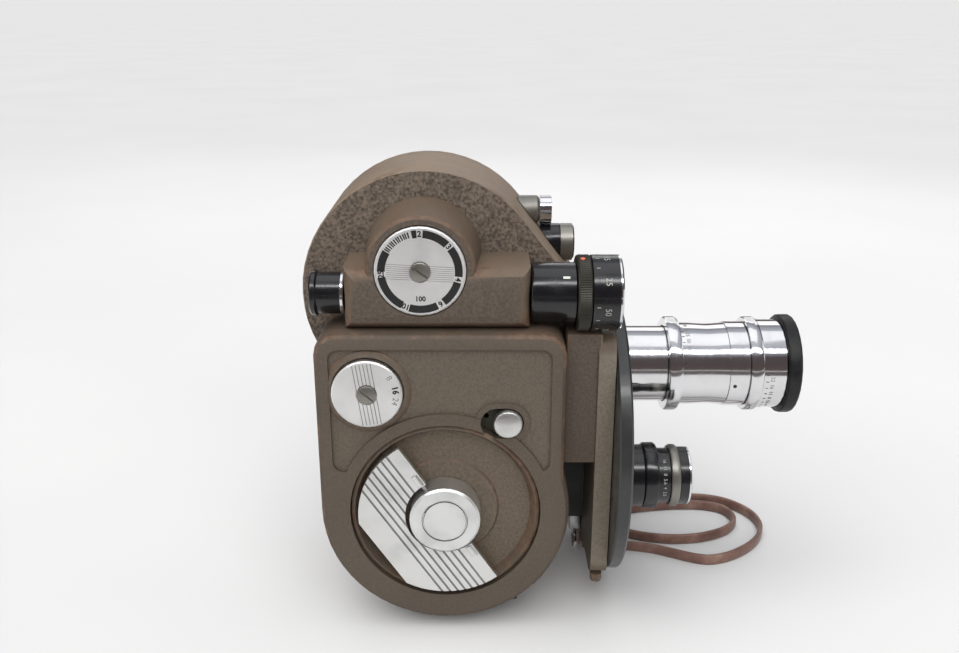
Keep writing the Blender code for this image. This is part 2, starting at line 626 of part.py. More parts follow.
def make_gate():
    """The aperture plate, the pressure plate behind the film and the claw that pulls it down."""
    y, z = port_centre("long")
    aperture = rectangle((-0.0052, -0.0038), (0.0052, 0.0038))
    plate("film_gate", [rectangle((-0.0095, -0.019), (0.0095, 0.019)), aperture], "X", 0.0535, 0.0560, "chrome",
          (0, y, z))
    plate("pressure_plate", [rounded(rectangle((-0.0078, -0.015), (0.0078, 0.015)), 0.002)], "X", 0.0505, 0.0525,
          "chrome", (0, y, z))
    box("pulldown_claw", (0.0566, y + 0.0062, z - 0.020), (0.0578, y + 0.0090, z - 0.0065), "steel")


def make_shutter():
    """The half-disc shutter on its spindle."""
    centre = (0, 0.006, 0.121)
    hub, blade = 0.0035, 0.018
    start = math.radians(20)
    sweep = math.radians(190)
    outline = arc((0, 0), blade, start, start + sweep, 22) + arc((0, 0), hub, start + sweep, start + math.tau, 8)
    shutter = plate("shutter", [outline], "X", 0.0585, 0.0595, "black_enamel", centre)
    join(shutter, disc("shutter_spindle", 0.0022, 0.0062, (0.0575, *centre[1:]), (1, 0, 0), steps=16))


# ---- turret and lenses ----

def make_turret():
    ports = [circle(PORT_RADIUS, 20, port_centre(lens)) for lens in PORT_ANGLES]
    centre = Vector((0, *TURRET_AXIS))
    outlines = [circle(TURRET_RADIUS, 64)]
    outlines += [[(y - centre.y, z - centre.z) for y, z in port] for port in ports]
    outlines.append(circle(0.0050, 12))
    turret = plate("turret_disc", outlines, "X", *TURRET, "turret_grey", centre)
    rim = TURRET_RADIUS - 0.0015
    round_edges(turret, 0.0010, 1, lambda p: math.hypot(p.y, p.z) > rim)
    front = TURRET[1] + GAP
    turned("turret_pivot", [(0, 0.0030), (0.0080, 0.0030), (0.0092, 0.0018), (0.0092, 0), (0.0047, 0),
                            (0.0047, -0.0146), (0, -0.0146)], (front, *TURRET_AXIS), (1, 0, 0), "steel", 28)
    plug_y, plug_z = port_centre("plug")
    turned("port_plug", [(0, 0.0045), (0.0148, 0.0045), (0.0156, 0.0037), (0.0156, 0), (0.0127, 0), (0.0127, -0.0060),
                         (0, -0.0060)], (front, plug_y, plug_z), (1, 0, 0), "black_enamel", 28)


def make_long_lens():
    """The telephoto lens: a chrome barrel with a focusing ring, an aperture ring and a rubber hood."""
    place = (TURRET[1] + GAP, *port_centre("long"))
    ahead = (1, 0, 0)
    focus, iris = (0.0232, 0.0300), (0.0624, 0.0688)    # from the seat to each ring's back and front
    nose, tip = 0.0797, 0.0850
    neck = 0.0198
    barrel = [(0.0172, tip), (0.0198, tip), (0.0198, nose), (0.0220, nose), (0.0220, iris[1]), (neck, iris[1]),
              (neck, iris[0]), (0.0210, iris[0]), (0.0210, 0.0530), (0.0203, 0.0530), (0.0198, 0.0440),
              (0.0203, 0.0360), (0.0203, focus[1]), (0.0185, focus[1]), (0.0185, focus[0]), (0.0187, focus[0]),
              (0.0187, 0), (0.0127, 0), (0.0127, -0.0060), (0.0100, -0.0060), (0.0100, 0.0300), (0.0140, 0.0740),
              (0.0172, 0.0740)]
    turned("long_lens_barrel", barrel, place, ahead, "chrome", ring=True)
    for label, (back, front), bore in (("focus", focus, 0.0188), ("aperture", iris, neck + GAP)):
        profile = [(0.0226, front - GAP), (0.02325, front - 0.0009), (0.02325, back + 0.0009), (0.0226, back + GAP),
                   (bore, back + GAP), (bore, front - GAP)]
        turned(f"long_lens_{label}_ring", profile, place, ahead, "chrome", ring=True)
    hood_tip = 0.0866
    hood = [(0.0236, hood_tip), (0.0245, hood_tip - 0.0009), (0.0245, nose + 0.0010), (0.0238, nose + GAP),
            (0.0201, nose + GAP), (0.0201, tip + GAP), (0.0212, hood_tip)]
    turned("long_lens_hood", hood, place, ahead, "black_rubber", ring=True)
    glass = [(0, 0.0812), (0.0080, 0.0800), (0.0169, 0.0766), (0.0169, 0.0743), (0, 0.0743)]
    turned("long_lens_front_glass", glass, place, ahead, "lens_glass", 24)
    turned("long_lens_rear_glass", [(0, 0.0), (0.0097, 0.0), (0.0097, -0.0030), (0, -0.0042)], place, ahead,
           "lens_glass", 24)


def make_normal_lens():
    """The standard lens: a short black barrel with two rings."""
    place = (TURRET[1] + GAP, *port_centre("normal"))
    ahead = (1, 0, 0)
    focus, iris = (0.0090, 0.0160), (0.0214, 0.0260)
    tip = 0.0313
    barrel = [(0.0102, tip), (0.0130, tip), (0.0136, tip - 0.0008), (0.0136, iris[1]), (0.0120, iris[1]),
              (0.0120, iris[0]), (0.0130, iris[0]), (0.0130, focus[1]), (0.0122, focus[1]), (0.0122, focus[0]),
              (0.0147, focus[0]), (0.0147, 0), (0.0127, 0), (0.0127, -0.0060), (0.0080, -0.0060), (0.0080, 0.0250),
              (0.0088, 0.0250)]
    turned("normal_lens_barrel", barrel, place, ahead, "black_enamel", 24, ring=True)
    for label, (back, front), outer, bore in (("focus", focus, 0.0155, 0.0125), ("aperture", iris, 0.0146, 0.0123)):
        profile = [(outer - 0.0005, front - GAP), (outer, front - 0.0008), (outer, back + 0.0008),
                   (outer - 0.0005, back + GAP), (bore, back + GAP), (bore, front - GAP)]
        turned(f"normal_lens_{label}_ring", profile, place, ahead, "black_enamel", 24, ring=True)
    turned("normal_lens_glass", [(0, 0.0290), (0.0045, 0.0284), (0.0085, 0.0268), (0.0085, 0.0253), (0, 0.0253)],
           place, ahead, "lens_glass", 18)


# ---- critical focuser ----

def make_focuser():
    """The focusing magnifier on the slope: a knurled barrel in front and its eyepiece above."""
    low, high = (0.0450, FOCUSER_Y, 0.1695), (0.0340, FOCUSER_Y, 0.1855)
    body = turned("focuser_body", [(0, 0.0160), (0.0080, 0.0160), (0.0080, 0.0090), (0.0090, 0.0090), (0.0090, 0),
                                   (0, 0)], low, (1, 0, 0), "black_enamel", 28)
    eyepiece = turned("focuser_eyepiece_mount", [(0, 0.0100), (0.0058, 0.0100), (0.0068, 0.0090), (0.0068, 0), (0, 0)],
                      high, (1, 0, 0), "grey_metal", 24)
    collar = tube("focuser_collar", 0.0090, 0.0083, 0.0060, (low[0] + 0.0093, *low[1:]), (1, 0, 0), "grey_metal")
    for piece in (body, collar, eyepiece):
        cut(piece, plate(f"{piece.name}_clearance", [film_outline(-GAP)], "Y", BODY_NEAR, BODY_FAR))
    disc("focuser_eyepiece", 0.0068, 0.0056, (high[0] + 0.0103, *high[1:]), (1, 0, 0), "chrome", 24)


# ---- wrist strap ----

def make_strap():
    """The lug behind the front plate, its ring and the leather lace that lies on the table."""
    y = STRAP_Y
    box("strap_lug", (0.0618, y - 0.0040, 0.0205), (FRONT_PLATE[0] - GAP, y + 0.0040, 0.0300), "steel",
        rounding=0.0008)
    bpy.ops.mesh.primitive_torus_add(major_segments=20, minor_segments=6, major_radius=0.0058, minor_radius=0.0009,
                                     location=(0.0650, y, 0.0134), rotation=(0, math.pi / 2, 0))
    ring = bpy.context.object
    ring.name = "strap_ring"
    ring.data.materials.append(material("steel"))
    for home in list(ring.users_collection):
        home.objects.unlink(ring)
    bpy.data.collections[PARTS].objects.link(ring)

    # The route starts and ends at the ring and lies flat between: out, round the wide end, back, and again inside.
    low = STRAP_RADIUS + 0.0002
    flat = [(0.0845, 0.0570), (0.0955, 0.0630), (0.1090, 0.0668), (0.1250, 0.0690), (0.1450, 0.0690), (0.1600, 0.0630),
            (0.1700, 0.0500), (0.1715, 0.0350), (0.1640, 0.0200), (0.1500, 0.0080), (0.1350, 0.0030),
            (0.1210, 0.0080), (0.1080, 0.0140), (0.0940, 0.0170), (0.0840, 0.0190), (0.0805, 0.0245),
            (0.0830, 0.0305), (0.0910, 0.0320), (0.1040, 0.0265), (0.1200, 0.0235), (0.1370, 0.0255),
            (0.1520, 0.0330), (0.1590, 0.0440), (0.1550, 0.0560), (0.1420, 0.0610), (0.1230, 0.0605),
            (0.1050, 0.0570), (0.0910, 0.0515), (0.0820, 0.0430)]
    route = [(0.0691, y + 0.0032, 0.0120), (0.0691, 0.0200, 0.0052), (0.0699, 0.0330, 0.0032), (0.0750, 0.0470, low),
             *((along, side, low) for along, side in flat),
             (0.0768, 0.0330, 0.0030), (0.0752, 0.0220, 0.0042), (0.0736, 0.0130, 0.0072),
             (0.0703, y - 0.0032, 0.0124)]
    cord("wrist_strap", route, STRAP_RADIUS, "strap_leather")


def cord(name, route, radius, finish):
    """A round cord along a smooth curve through the route's points."""
    points = [Vector(p) for p in route]
    ends = [2 * points[0] - points[1], *points, 2 * points[-1] - points[-2]]
    smooth = []
    for before, start, end, after in zip(ends, ends[1:], ends[2:], ends[3:]):
        middle = (9 * (start + end) - before - after) / 16
        smooth += [start, middle]
    smooth.append(points[-1])
    curve = bpy.data.curves.new(name, "CURVE")
    curve.dimensions = "3D"
    curve.bevel_depth = radius
    curve.bevel_resolution = 2
    curve.use_fill_caps = True
    spline = curve.splines.new("POLY")
    spline.points.add(len(smooth) - 1)
    for point, place in zip(spline.points, smooth):
        point.co = (*place, 1)
    curve.materials.append(material(finish))
    obj = bpy.data.objects.new(name, curve)
    bpy.data.collections[PARTS].objects.link(obj)


def main():
    start_empty()
    make_body_shell()
    make_film_door()
    make_door_latches()
    make_motor_housing()
    make_barrel_cover()
    make_base_pad()
    make_front_plate()
    make_finder_casting()
    make_finder_optics()
    make_parallax_dial()
    make_winder()
    make_winding_key()
    make_speed_dial()
    make_start_button()
    make_mainspring()
    make_governor()
    make_mechanism_plate()
    make_spindles()
    make_sprocket()
    make_gate()
    make_shutter()
    make_turret()
    make_long_lens()
    make_normal_lens()
    make_focuser()
    make_strap()


main()
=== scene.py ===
"""Looks of the spring-wound cine camera: smooth surfaces, markings, strap, materials, light and view."""

import json
import math

import bmesh
import bpy
from mathutils import Matrix, Vector


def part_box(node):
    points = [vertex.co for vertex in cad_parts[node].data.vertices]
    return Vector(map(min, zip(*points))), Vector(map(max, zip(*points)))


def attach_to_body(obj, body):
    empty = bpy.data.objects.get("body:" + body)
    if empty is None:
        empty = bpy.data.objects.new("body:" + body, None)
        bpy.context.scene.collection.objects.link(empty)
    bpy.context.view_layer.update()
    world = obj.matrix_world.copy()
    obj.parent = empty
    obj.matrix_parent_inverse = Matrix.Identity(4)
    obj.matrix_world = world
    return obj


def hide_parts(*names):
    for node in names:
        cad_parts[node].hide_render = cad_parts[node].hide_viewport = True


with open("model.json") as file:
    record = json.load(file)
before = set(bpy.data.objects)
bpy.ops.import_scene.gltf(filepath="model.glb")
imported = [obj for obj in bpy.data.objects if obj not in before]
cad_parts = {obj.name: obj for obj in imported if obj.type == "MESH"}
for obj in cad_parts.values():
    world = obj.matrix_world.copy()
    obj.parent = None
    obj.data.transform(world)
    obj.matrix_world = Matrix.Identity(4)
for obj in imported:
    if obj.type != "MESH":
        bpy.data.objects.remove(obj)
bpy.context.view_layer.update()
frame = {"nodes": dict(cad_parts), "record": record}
NODES = frame["nodes"]
RECORD = frame["record"]
BODY_OF = {node: body for body, nodes in RECORD["behaviour"]["bodies"].items() for node in nodes}
SLOT_OF = {part["node"]: part["material_slot"] for part in RECORD["subparts"]}

WELD = 1e-6                 # vertices nearer than this are one
INK = 0.00004               # height of painted marks above their surface
TURNED_COLUMNS = 96         # columns of a turned surface
TOWARDS_VIEWER = (0, -1, 0)
FORWARD = (1, 0, 0)         # the way the lenses look
BACKWARD = (-1, 0, 0)

CAMERA_PLACE = (0.0154, -0.440, 0.283)
CAMERA_PITCH = 18.8         # degrees below the horizon
CAMERA_LENS = 36.45         # mm, on a sensor 36 mm wide
LAMP_TARGET = (0.03, 0.0, 0.10)
FLOOR_REACH = 120.0         # far enough to meet the horizon

PANEL_EDGE = -0.0513        # the motor housing's raised rim lies in front of this Y, its sunk panel behind it
PANEL_FLOOR = -0.0505


def box_of(node):
    """Lowest corner, highest corner and centre of a CAD node."""
    low, high = (Vector(corner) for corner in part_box(node))
    return low, high, (low + high) / 2


# ---- camera, floor and light ----

def make_camera():
    data = bpy.data.cameras.new("camera")
    data.lens = CAMERA_LENS
    data.sensor_width = 36.0
    data.clip_start = 0.01
    camera = bpy.data.objects.new("camera", data)
    camera.location = CAMERA_PLACE
    camera.rotation_euler = (math.radians(90 - CAMERA_PITCH), 0, 0)
    bpy.context.scene.collection.objects.link(camera)
    bpy.context.scene.camera = camera
    bpy.context.scene.view_settings.view_transform = "Standard"


def aimed(light, place, target):
    """Puts a light at a place and turns it towards the target."""
    light.location = place
    light.rotation_euler = (Vector(target) - Vector(place)).to_track_quat("-Z", "Y").to_euler()
    bpy.context.scene.collection.objects.link(light)


def area_light(name, place, size, power, mirrored=True, lights_paint=True):
    """A rectangular lamp, turned to the middle of the object. Polished pieces can mirror it."""
    data = bpy.data.lights.new(name, "AREA")
    data.shape = "RECTANGLE"
    data.size, data.size_y = size
    data.energy = power
    light = bpy.data.objects.new(name, data)
    light.visible_glossy = mirrored
    light.visible_diffuse = lights_paint
    aimed(light, place, LAMP_TARGET)


def soft_sun(name, place, energy, colour):
    """Daylight through a wide window: it falls evenly on the whole floor and leaves no glints."""
    data = bpy.data.lights.new(name, "SUN")
    data.energy = energy
    data.angle = math.radians(75)
    data.color = colour
    light = bpy.data.objects.new(name, data)
    light.visible_glossy = False
    aimed(light, place, (0.0, 0.0, 0.0))


def make_lights():
    """Even soft daylight from above and in front, and lamps that the polished metal mirrors."""
    soft_sun("sky_light", (-0.28, -0.42, 1.0), 3.3, (1.0, 0.995, 0.98))
    soft_sun("front_fill", (0.30, -1.50, 0.45), 2.2, (1.0, 0.995, 0.98))
    area_light("strip_light", (0.0, -0.66, 0.98), (1.9, 0.16), 9, lights_paint=False)
    area_light("top_light", (0.05, 0.10, 1.2), (1.0, 0.8), 1.5)
    area_light("back_light", (0.25, 1.1, 0.75), (1.2, 0.5), 2.5)
    area_light("left_light", (-1.15, -0.35, 0.55), (0.7, 0.9), 1.5)
    area_light("right_light", (1.25, -0.2, 0.65), (0.6, 0.8), 1.5)


def make_world():
    """Pale to the camera. In reflections it is dark near the horizon, as a room is."""
    world = bpy.data.worlds.new("studio")
    bpy.context.scene.world = world
    world.use_nodes = True
    tree = world.node_tree
    background = tree.nodes["Background"]
    coords = tree.nodes.new("ShaderNodeTexCoord")
    split = tree.nodes.new("ShaderNodeSeparateXYZ")
    ramp = tree.nodes.new("ShaderNodeValToRGB")
    path = tree.nodes.new("ShaderNodeLightPath")
    mix = tree.nodes.new("ShaderNodeMix")
    mix.data_type = "RGBA"
    stops = ((0.0, (0.16, 0.12, 0.11)), (0.03, (0.10, 0.078, 0.074)), (0.56, (0.085, 0.070, 0.072)),
             (0.80, (0.42, 0.44, 0.49)), (1.0, (0.68, 0.69, 0.72)))
    while len(ramp.color_ramp.elements) < len(stops):
        ramp.color_ramp.elements.new(0.5)
    for element, (position, colour) in zip(ramp.color_ramp.elements, stops):
        element.position = position
        element.color = (*colour, 1)
    tree.links.new(coords.outputs["Generated"], split.inputs[0])
    tree.links.new(split.outputs["Z"], ramp.inputs[0])
    tree.links.new(path.outputs["Is Camera Ray"], mix.inputs["Factor"])
    tree.links.new(ramp.outputs[0], mix.inputs["A"])
    mix.inputs["B"].default_value = (0.82, 0.82, 0.82, 1)
    tree.links.new(mix.outputs["Result"], background.inputs["Color"])


def stage_sheet(name, low, high, height, finish):
    """A level rectangle of the surroundings, between two corners."""
    bm = bmesh.new()
    corners = [(low[0], low[1]), (high[0], low[1]), (high[0], high[1]), (low[0], high[1])]
    bm.faces.new([bm.verts.new((x, y, height)) for x, y in corners])
    mesh = bpy.data.meshes.new(name)
    bm.to_mesh(mesh)
    bm.free()
    mesh.materials.append(finish)
    sheet = bpy.data.objects.new(name, mesh)
    bpy.context.scene.collection.objects.link(sheet)
    return sheet


def make_floor():
    """A pale table top, and the dark room before its front edge, which only reflections show."""
    shader = Shader("floor_paper", base=(0.54, 0.54, 0.54), roughness=0.9, specular=0.0)
    grain = shader.noise(shader.coords(), 3.0, detail=2)
    shader.colour(shader.ramp(grain, ((0.35, (0.532, 0.532, 0.534)), (0.65, (0.548, 0.548, 0.546)))))
    stage_sheet("floor", (-FLOOR_REACH, -FLOOR_REACH), (FLOOR_REACH, FLOOR_REACH), 0.0, shader.material)

    shader = Shader("room_shade", base=(0.09, 0.08, 0.08), roughness=0.9, specular=0.0)
    cloud = shader.noise(shader.coords(), 5.0, detail=2)
    shader.colour(shader.ramp(cloud, ((0.35, (0.075, 0.062, 0.062)), (0.65, (0.10, 0.085, 0.088)))))
    shade = stage_sheet("room_shade", (-2.5, -4.0), (2.5, -0.48), 0.002, shader.material)
    shade.visible_camera = False
    shade.visible_diffuse = False
    shade.visible_shadow = False
    shade.visible_transmission = False


# ---- materials ----

class Shader:
    """A Principled material, with short calls for the nodes that feed it."""

    LABELS = {"base": "Base Color", "roughness": "Roughness", "metallic": "Metallic", "coat": "Coat Weight",
              "coat_roughness": "Coat Roughness", "specular": "Specular IOR Level", "ior": "IOR",
              "transmission": "Transmission Weight", "sheen": "Sheen Weight", "alpha": "Alpha"}

    def __init__(self, name, **values):
        self.material = bpy.data.materials.new(name)
        self.material.use_nodes = True
        self.tree = self.material.node_tree
        self.surface = self.tree.nodes["Principled BSDF"]
        for key, value in values.items():
            socket = self.surface.inputs[self.LABELS[key]]
            socket.default_value = (*value, 1) if key == "base" else value

    def add(self, kind, **settings):
        node = self.tree.nodes.new("ShaderNode" + kind)
        for key, value in settings.items():
            setattr(node, key, value)
        return node

    def feed(self, socket, value):
        """A link when value is a socket, else a fixed value."""
        if isinstance(value, bpy.types.NodeSocket):
            self.tree.links.new(value, socket)
        elif isinstance(value, tuple) and len(value) == 3 and socket.type == "RGBA":
            socket.default_value = (*value, 1)
        else:
            socket.default_value = value

    def coords(self, stretch=(1, 1, 1), turn=(0, 0, 0), output="Object"):
        source = self.add("TexCoord").outputs[output]
        mapping = self.add("Mapping")
        mapping.inputs["Scale"].default_value = stretch
        mapping.inputs["Rotation"].default_value = turn
        self.feed(mapping.inputs["Vector"], source)
        return mapping.outputs[0]

    def axis(self, vector, letter):
        split = self.add("SeparateXYZ")
        self.feed(split.inputs[0], vector)
        return split.outputs[letter]

    def noise(self, vector, scale, detail=3.0, rough=0.55, distortion=0.0):
        node = self.add("TexNoise")
        self.feed(node.inputs["Vector"], vector)
        node.inputs["Scale"].default_value = scale
        node.inputs["Detail"].default_value = detail
        node.inputs["Roughness"].default_value = rough
        node.inputs["Distortion"].default_value = distortion
        return node.outputs["Fac"]

    def cells(self, vector, scale, feature="SMOOTH_F1"):
        node = self.add("TexVoronoi", feature=feature)
        self.feed(node.inputs["Vector"], vector)
        node.inputs["Scale"].default_value = scale
        return node.outputs["Distance"]

    def calc(self, operation, first, second=0.0):
        node = self.add("Math", operation=operation)
        self.feed(node.inputs[0], first)
        self.feed(node.inputs[1], second)
        return node.outputs[0]

    def remap(self, value, low, high, to_low=0.0, to_high=1.0):
        node = self.add("MapRange", interpolation_type="SMOOTHSTEP")
        for label, number in (("Value", value), ("From Min", low), ("From Max", high),
                              ("To Min", to_low), ("To Max", to_high)):
            self.feed(node.inputs[label], number)
        return node.outputs[0]

    def ramp(self, value, stops):
        node = self.add("ValToRGB")
        elements = node.color_ramp.elements
        while len(elements) < len(stops):
            elements.new(0.5)
        for element, (position, colour) in zip(elements, stops):
            element.position = position
            element.color = (*colour, 1)
        self.feed(node.inputs[0], value)
        return node.outputs[0]

    def mix(self, share, first, second, blend="MIX"):
        node = self.add("Mix", data_type="RGBA", blend_type=blend)
        self.feed(node.inputs["Factor"], share)
        self.feed(node.inputs[6], first)
        self.feed(node.inputs[7], second)
        return node.outputs[2]

    def colour(self, value):
        self.feed(self.surface.inputs["Base Color"], value)

    def rough(self, value):
        self.feed(self.surface.inputs["Roughness"], value)

    def bump(self, height, strength, distance):
        node = self.add("Bump")
        node.inputs["Strength"].default_value = strength
        node.inputs["Distance"].default_value = distance
        self.feed(node.inputs["Height"], height)
        before = self.surface.inputs["Normal"].links
        if before:
            self.feed(node.inputs["Normal"], before[0].from_socket)
        self.feed(self.surface.inputs["Normal"], node.outputs[0])


def wrinkle_height(shader, scale):
    """Ridges that wander and branch, like enamel that has shrivelled while drying."""
    where = shader.coords()
    warped = shader.noise(where, scale, detail=2.5, rough=0.6, distortion=1.2)
    ridges = shader.calc("ABSOLUTE", shader.calc("SUBTRACT", warped, 0.5))
    return shader.remap(ridges, 0.0, 0.12)


def scaled(colour, factor):
    """The colour made lighter or darker."""
    return tuple(channel * factor for channel in colour)


def wrinkle_paint(name, flat, smooth, contrast=0.25, worn=0.5, panel=None):
    """Brown-grey wrinkle enamel: mottled on flat faces, smoother on the roundings, rusty at worn edges.

    panel is the colour of the finely pebbled faces that are sunk below the rim."""
    shader = Shader(name, roughness=0.6, specular=0.3)
    where = shader.coords()
    facing = shader.calc("ABSOLUTE", shader.axis(shader.coords(output="Normal"), "Y"))
    level = shader.remap(facing, 0.93, 0.995)
    turning = shader.calc("MULTIPLY", shader.remap(facing, 0.02, 0.25), shader.remap(facing, 0.985, 0.85))

    coarse = wrinkle_height(shader, 560)
    blotch = shader.noise(where, 780, detail=2.0)
    cloud = shader.noise(where, 38, detail=3.0)

    mottled = shader.ramp(blotch, ((0.36, scaled(flat, 1 - contrast)), (0.50, flat),
                                   (0.64, scaled(flat, 1 + contrast))))
    even = shader.ramp(cloud, ((0.3, scaled(smooth, 0.88)), (0.7, scaled(smooth, 1.12))))
    even = shader.mix(shader.remap(blotch, 0.35, 0.65, 0.0, 0.22), even, scaled(smooth, 0.55))

    if panel:
        depth = shader.axis(where, "Y")
        rim = shader.remap(depth, PANEL_EDGE + 0.0001, PANEL_EDGE - 0.0001)
        dish = shader.remap(depth, PANEL_FLOOR + 0.001, PANEL_FLOOR + 0.002)
        weave = shader.cells(shader.coords(stretch=(1.0, 1.0, 0.8), turn=(0, math.radians(38), 0)), 1350)
        pebbled = shader.ramp(weave, ((0.15, scaled(panel, 1.10)), (0.60, scaled(panel, 0.84))))
        mottled = shader.mix(dish, pebbled, mottled)
        mottled = shader.mix(shader.calc("MULTIPLY", rim, 0.5), mottled, even)
        sunk = shader.calc("MULTIPLY", level, shader.calc("SUBTRACT", 1.0, dish))
        shader.bump(shader.calc("MULTIPLY", weave, sunk), 0.35, -0.00018)

    paint = shader.mix(level, even, mottled)
    rust = shader.ramp(shader.noise(where, 260, detail=3.0),
                       ((0.35, (0.075, 0.043, 0.027)), (0.65, (0.125, 0.078, 0.052))))
    wander = shader.noise(where, 55, detail=4.0, rough=0.65)
    patches = shader.remap(wander, 0.62 - 0.35 * worn, 0.72 - 0.2 * worn)
    rusty = shader.calc("MULTIPLY", shader.calc("MULTIPLY", turning, patches), 0.85)
    paint = shader.mix(rusty, paint, rust)
    shader.colour(paint)
    shader.rough(shader.remap(cloud, 0.3, 0.7, 0.50, 0.66))
    strength = shader.remap(level, 0.0, 1.0, 0.30, 1.0)
    shader.bump(shader.calc("MULTIPLY", coarse, strength), 0.40, 0.00018)
    shader.bump(shader.noise(where, 1500, detail=2.0), 0.2, 0.0001)
    return shader.material


def enamel(name, base, roughness=0.17, coat=0.5, dust=0.1):
    """Gloss or satin enamel with faint dust and handling marks."""
    shader = Shader(name, base=base, coat=coat, coat_roughness=0.08, specular=0.5)
    where = shader.coords()
    smear = shader.noise(where, 90, detail=4.0)
    shader.rough(shader.remap(smear, 0.35, 0.75, roughness, roughness + 0.14))
    specks = shader.remap(shader.noise(where, 900, detail=2.0), 0.66, 0.74)
    lighter = tuple(channel + 0.05 for channel in base)
    shader.colour(shader.mix(shader.calc("MULTIPLY", specks, dust * 4), base, lighter))
    shader.bump(shader.noise(where, 400, detail=2.0), 0.04, 0.0001)
    return shader.material


def metal(name, base, roughness=0.25, lines=(40, 40, 2500), line_strength=0.06, smudge=0.10):
    """Bare or plated metal. lines stretches its fine scratches: the large number is across them."""
    shader = Shader(name, base=base, metallic=1.0)
    where = shader.coords()
    scratches = shader.noise(shader.coords(stretch=lines), 1.0, detail=4.0, rough=0.7)
    cloud = shader.noise(where, 70, detail=4.0)
    smudged = shader.remap(cloud, 0.35, 0.7, roughness - smudge / 2, roughness + smudge)
    shader.rough(shader.calc("ADD", smudged, shader.remap(scratches, 0.3, 0.7, 0.0, 0.08)))
    shader.colour(shader.mix(shader.remap(cloud, 0.45, 0.8, 0.0, 0.55), base, scaled(base, 0.80)))
    shader.bump(scratches, line_strength, 0.0001)
    return shader.material


def make_glass():
    shader = Shader("coated_glass", base=(0.55, 0.60, 0.75), roughness=0.03, transmission=0.85, ior=1.5,
                    coat=0.6)
    tint = shader.noise(shader.coords(), 60, detail=1.0)
    shader.colour(shader.ramp(tint, ((0.4, (0.42, 0.47, 0.66)), (0.6, (0.52, 0.50, 0.70)))))
    return shader.material


def make_rubber():
    shader = Shader("black_rubber_surface", base=(0.006, 0.006, 0.007), roughness=0.5, specular=0.3)
    where = shader.coords()
    wear = shader.noise(where, 120, detail=4.0)
    shader.colour(shader.ramp(wear, ((0.40, (0.005, 0.005, 0.006)), (0.72, (0.014, 0.014, 0.013)))))
    shader.rough(shader.remap(wear, 0.3, 0.7, 0.34, 0.55))
    shader.bump(shader.noise(where, 1800, detail=2.0), 0.2, 0.0001)
    return shader.material


def make_leather():
    shader = Shader("strap_leather_surface", roughness=0.55, sheen=0.15, specular=0.4)
    where = shader.coords()
    patches = shader.noise(where, 85, detail=4.0)
    grain = shader.cells(where, 1500)
    hide = shader.ramp(patches, ((0.30, (0.085, 0.040, 0.029)), (0.52, (0.150, 0.078, 0.060)),
                                 (0.72, (0.230, 0.145, 0.112))))
    shader.colour(shader.mix(shader.remap(grain, 0.2, 0.7, 0.0, 0.35), hide, (0.060, 0.030, 0.022)))
    shader.rough(shader.remap(patches, 0.3, 0.7, 0.42, 0.66))
    shader.bump(grain, 0.35, -0.0001)
    shader.bump(patches, 0.3, 0.0004)
    return shader.material


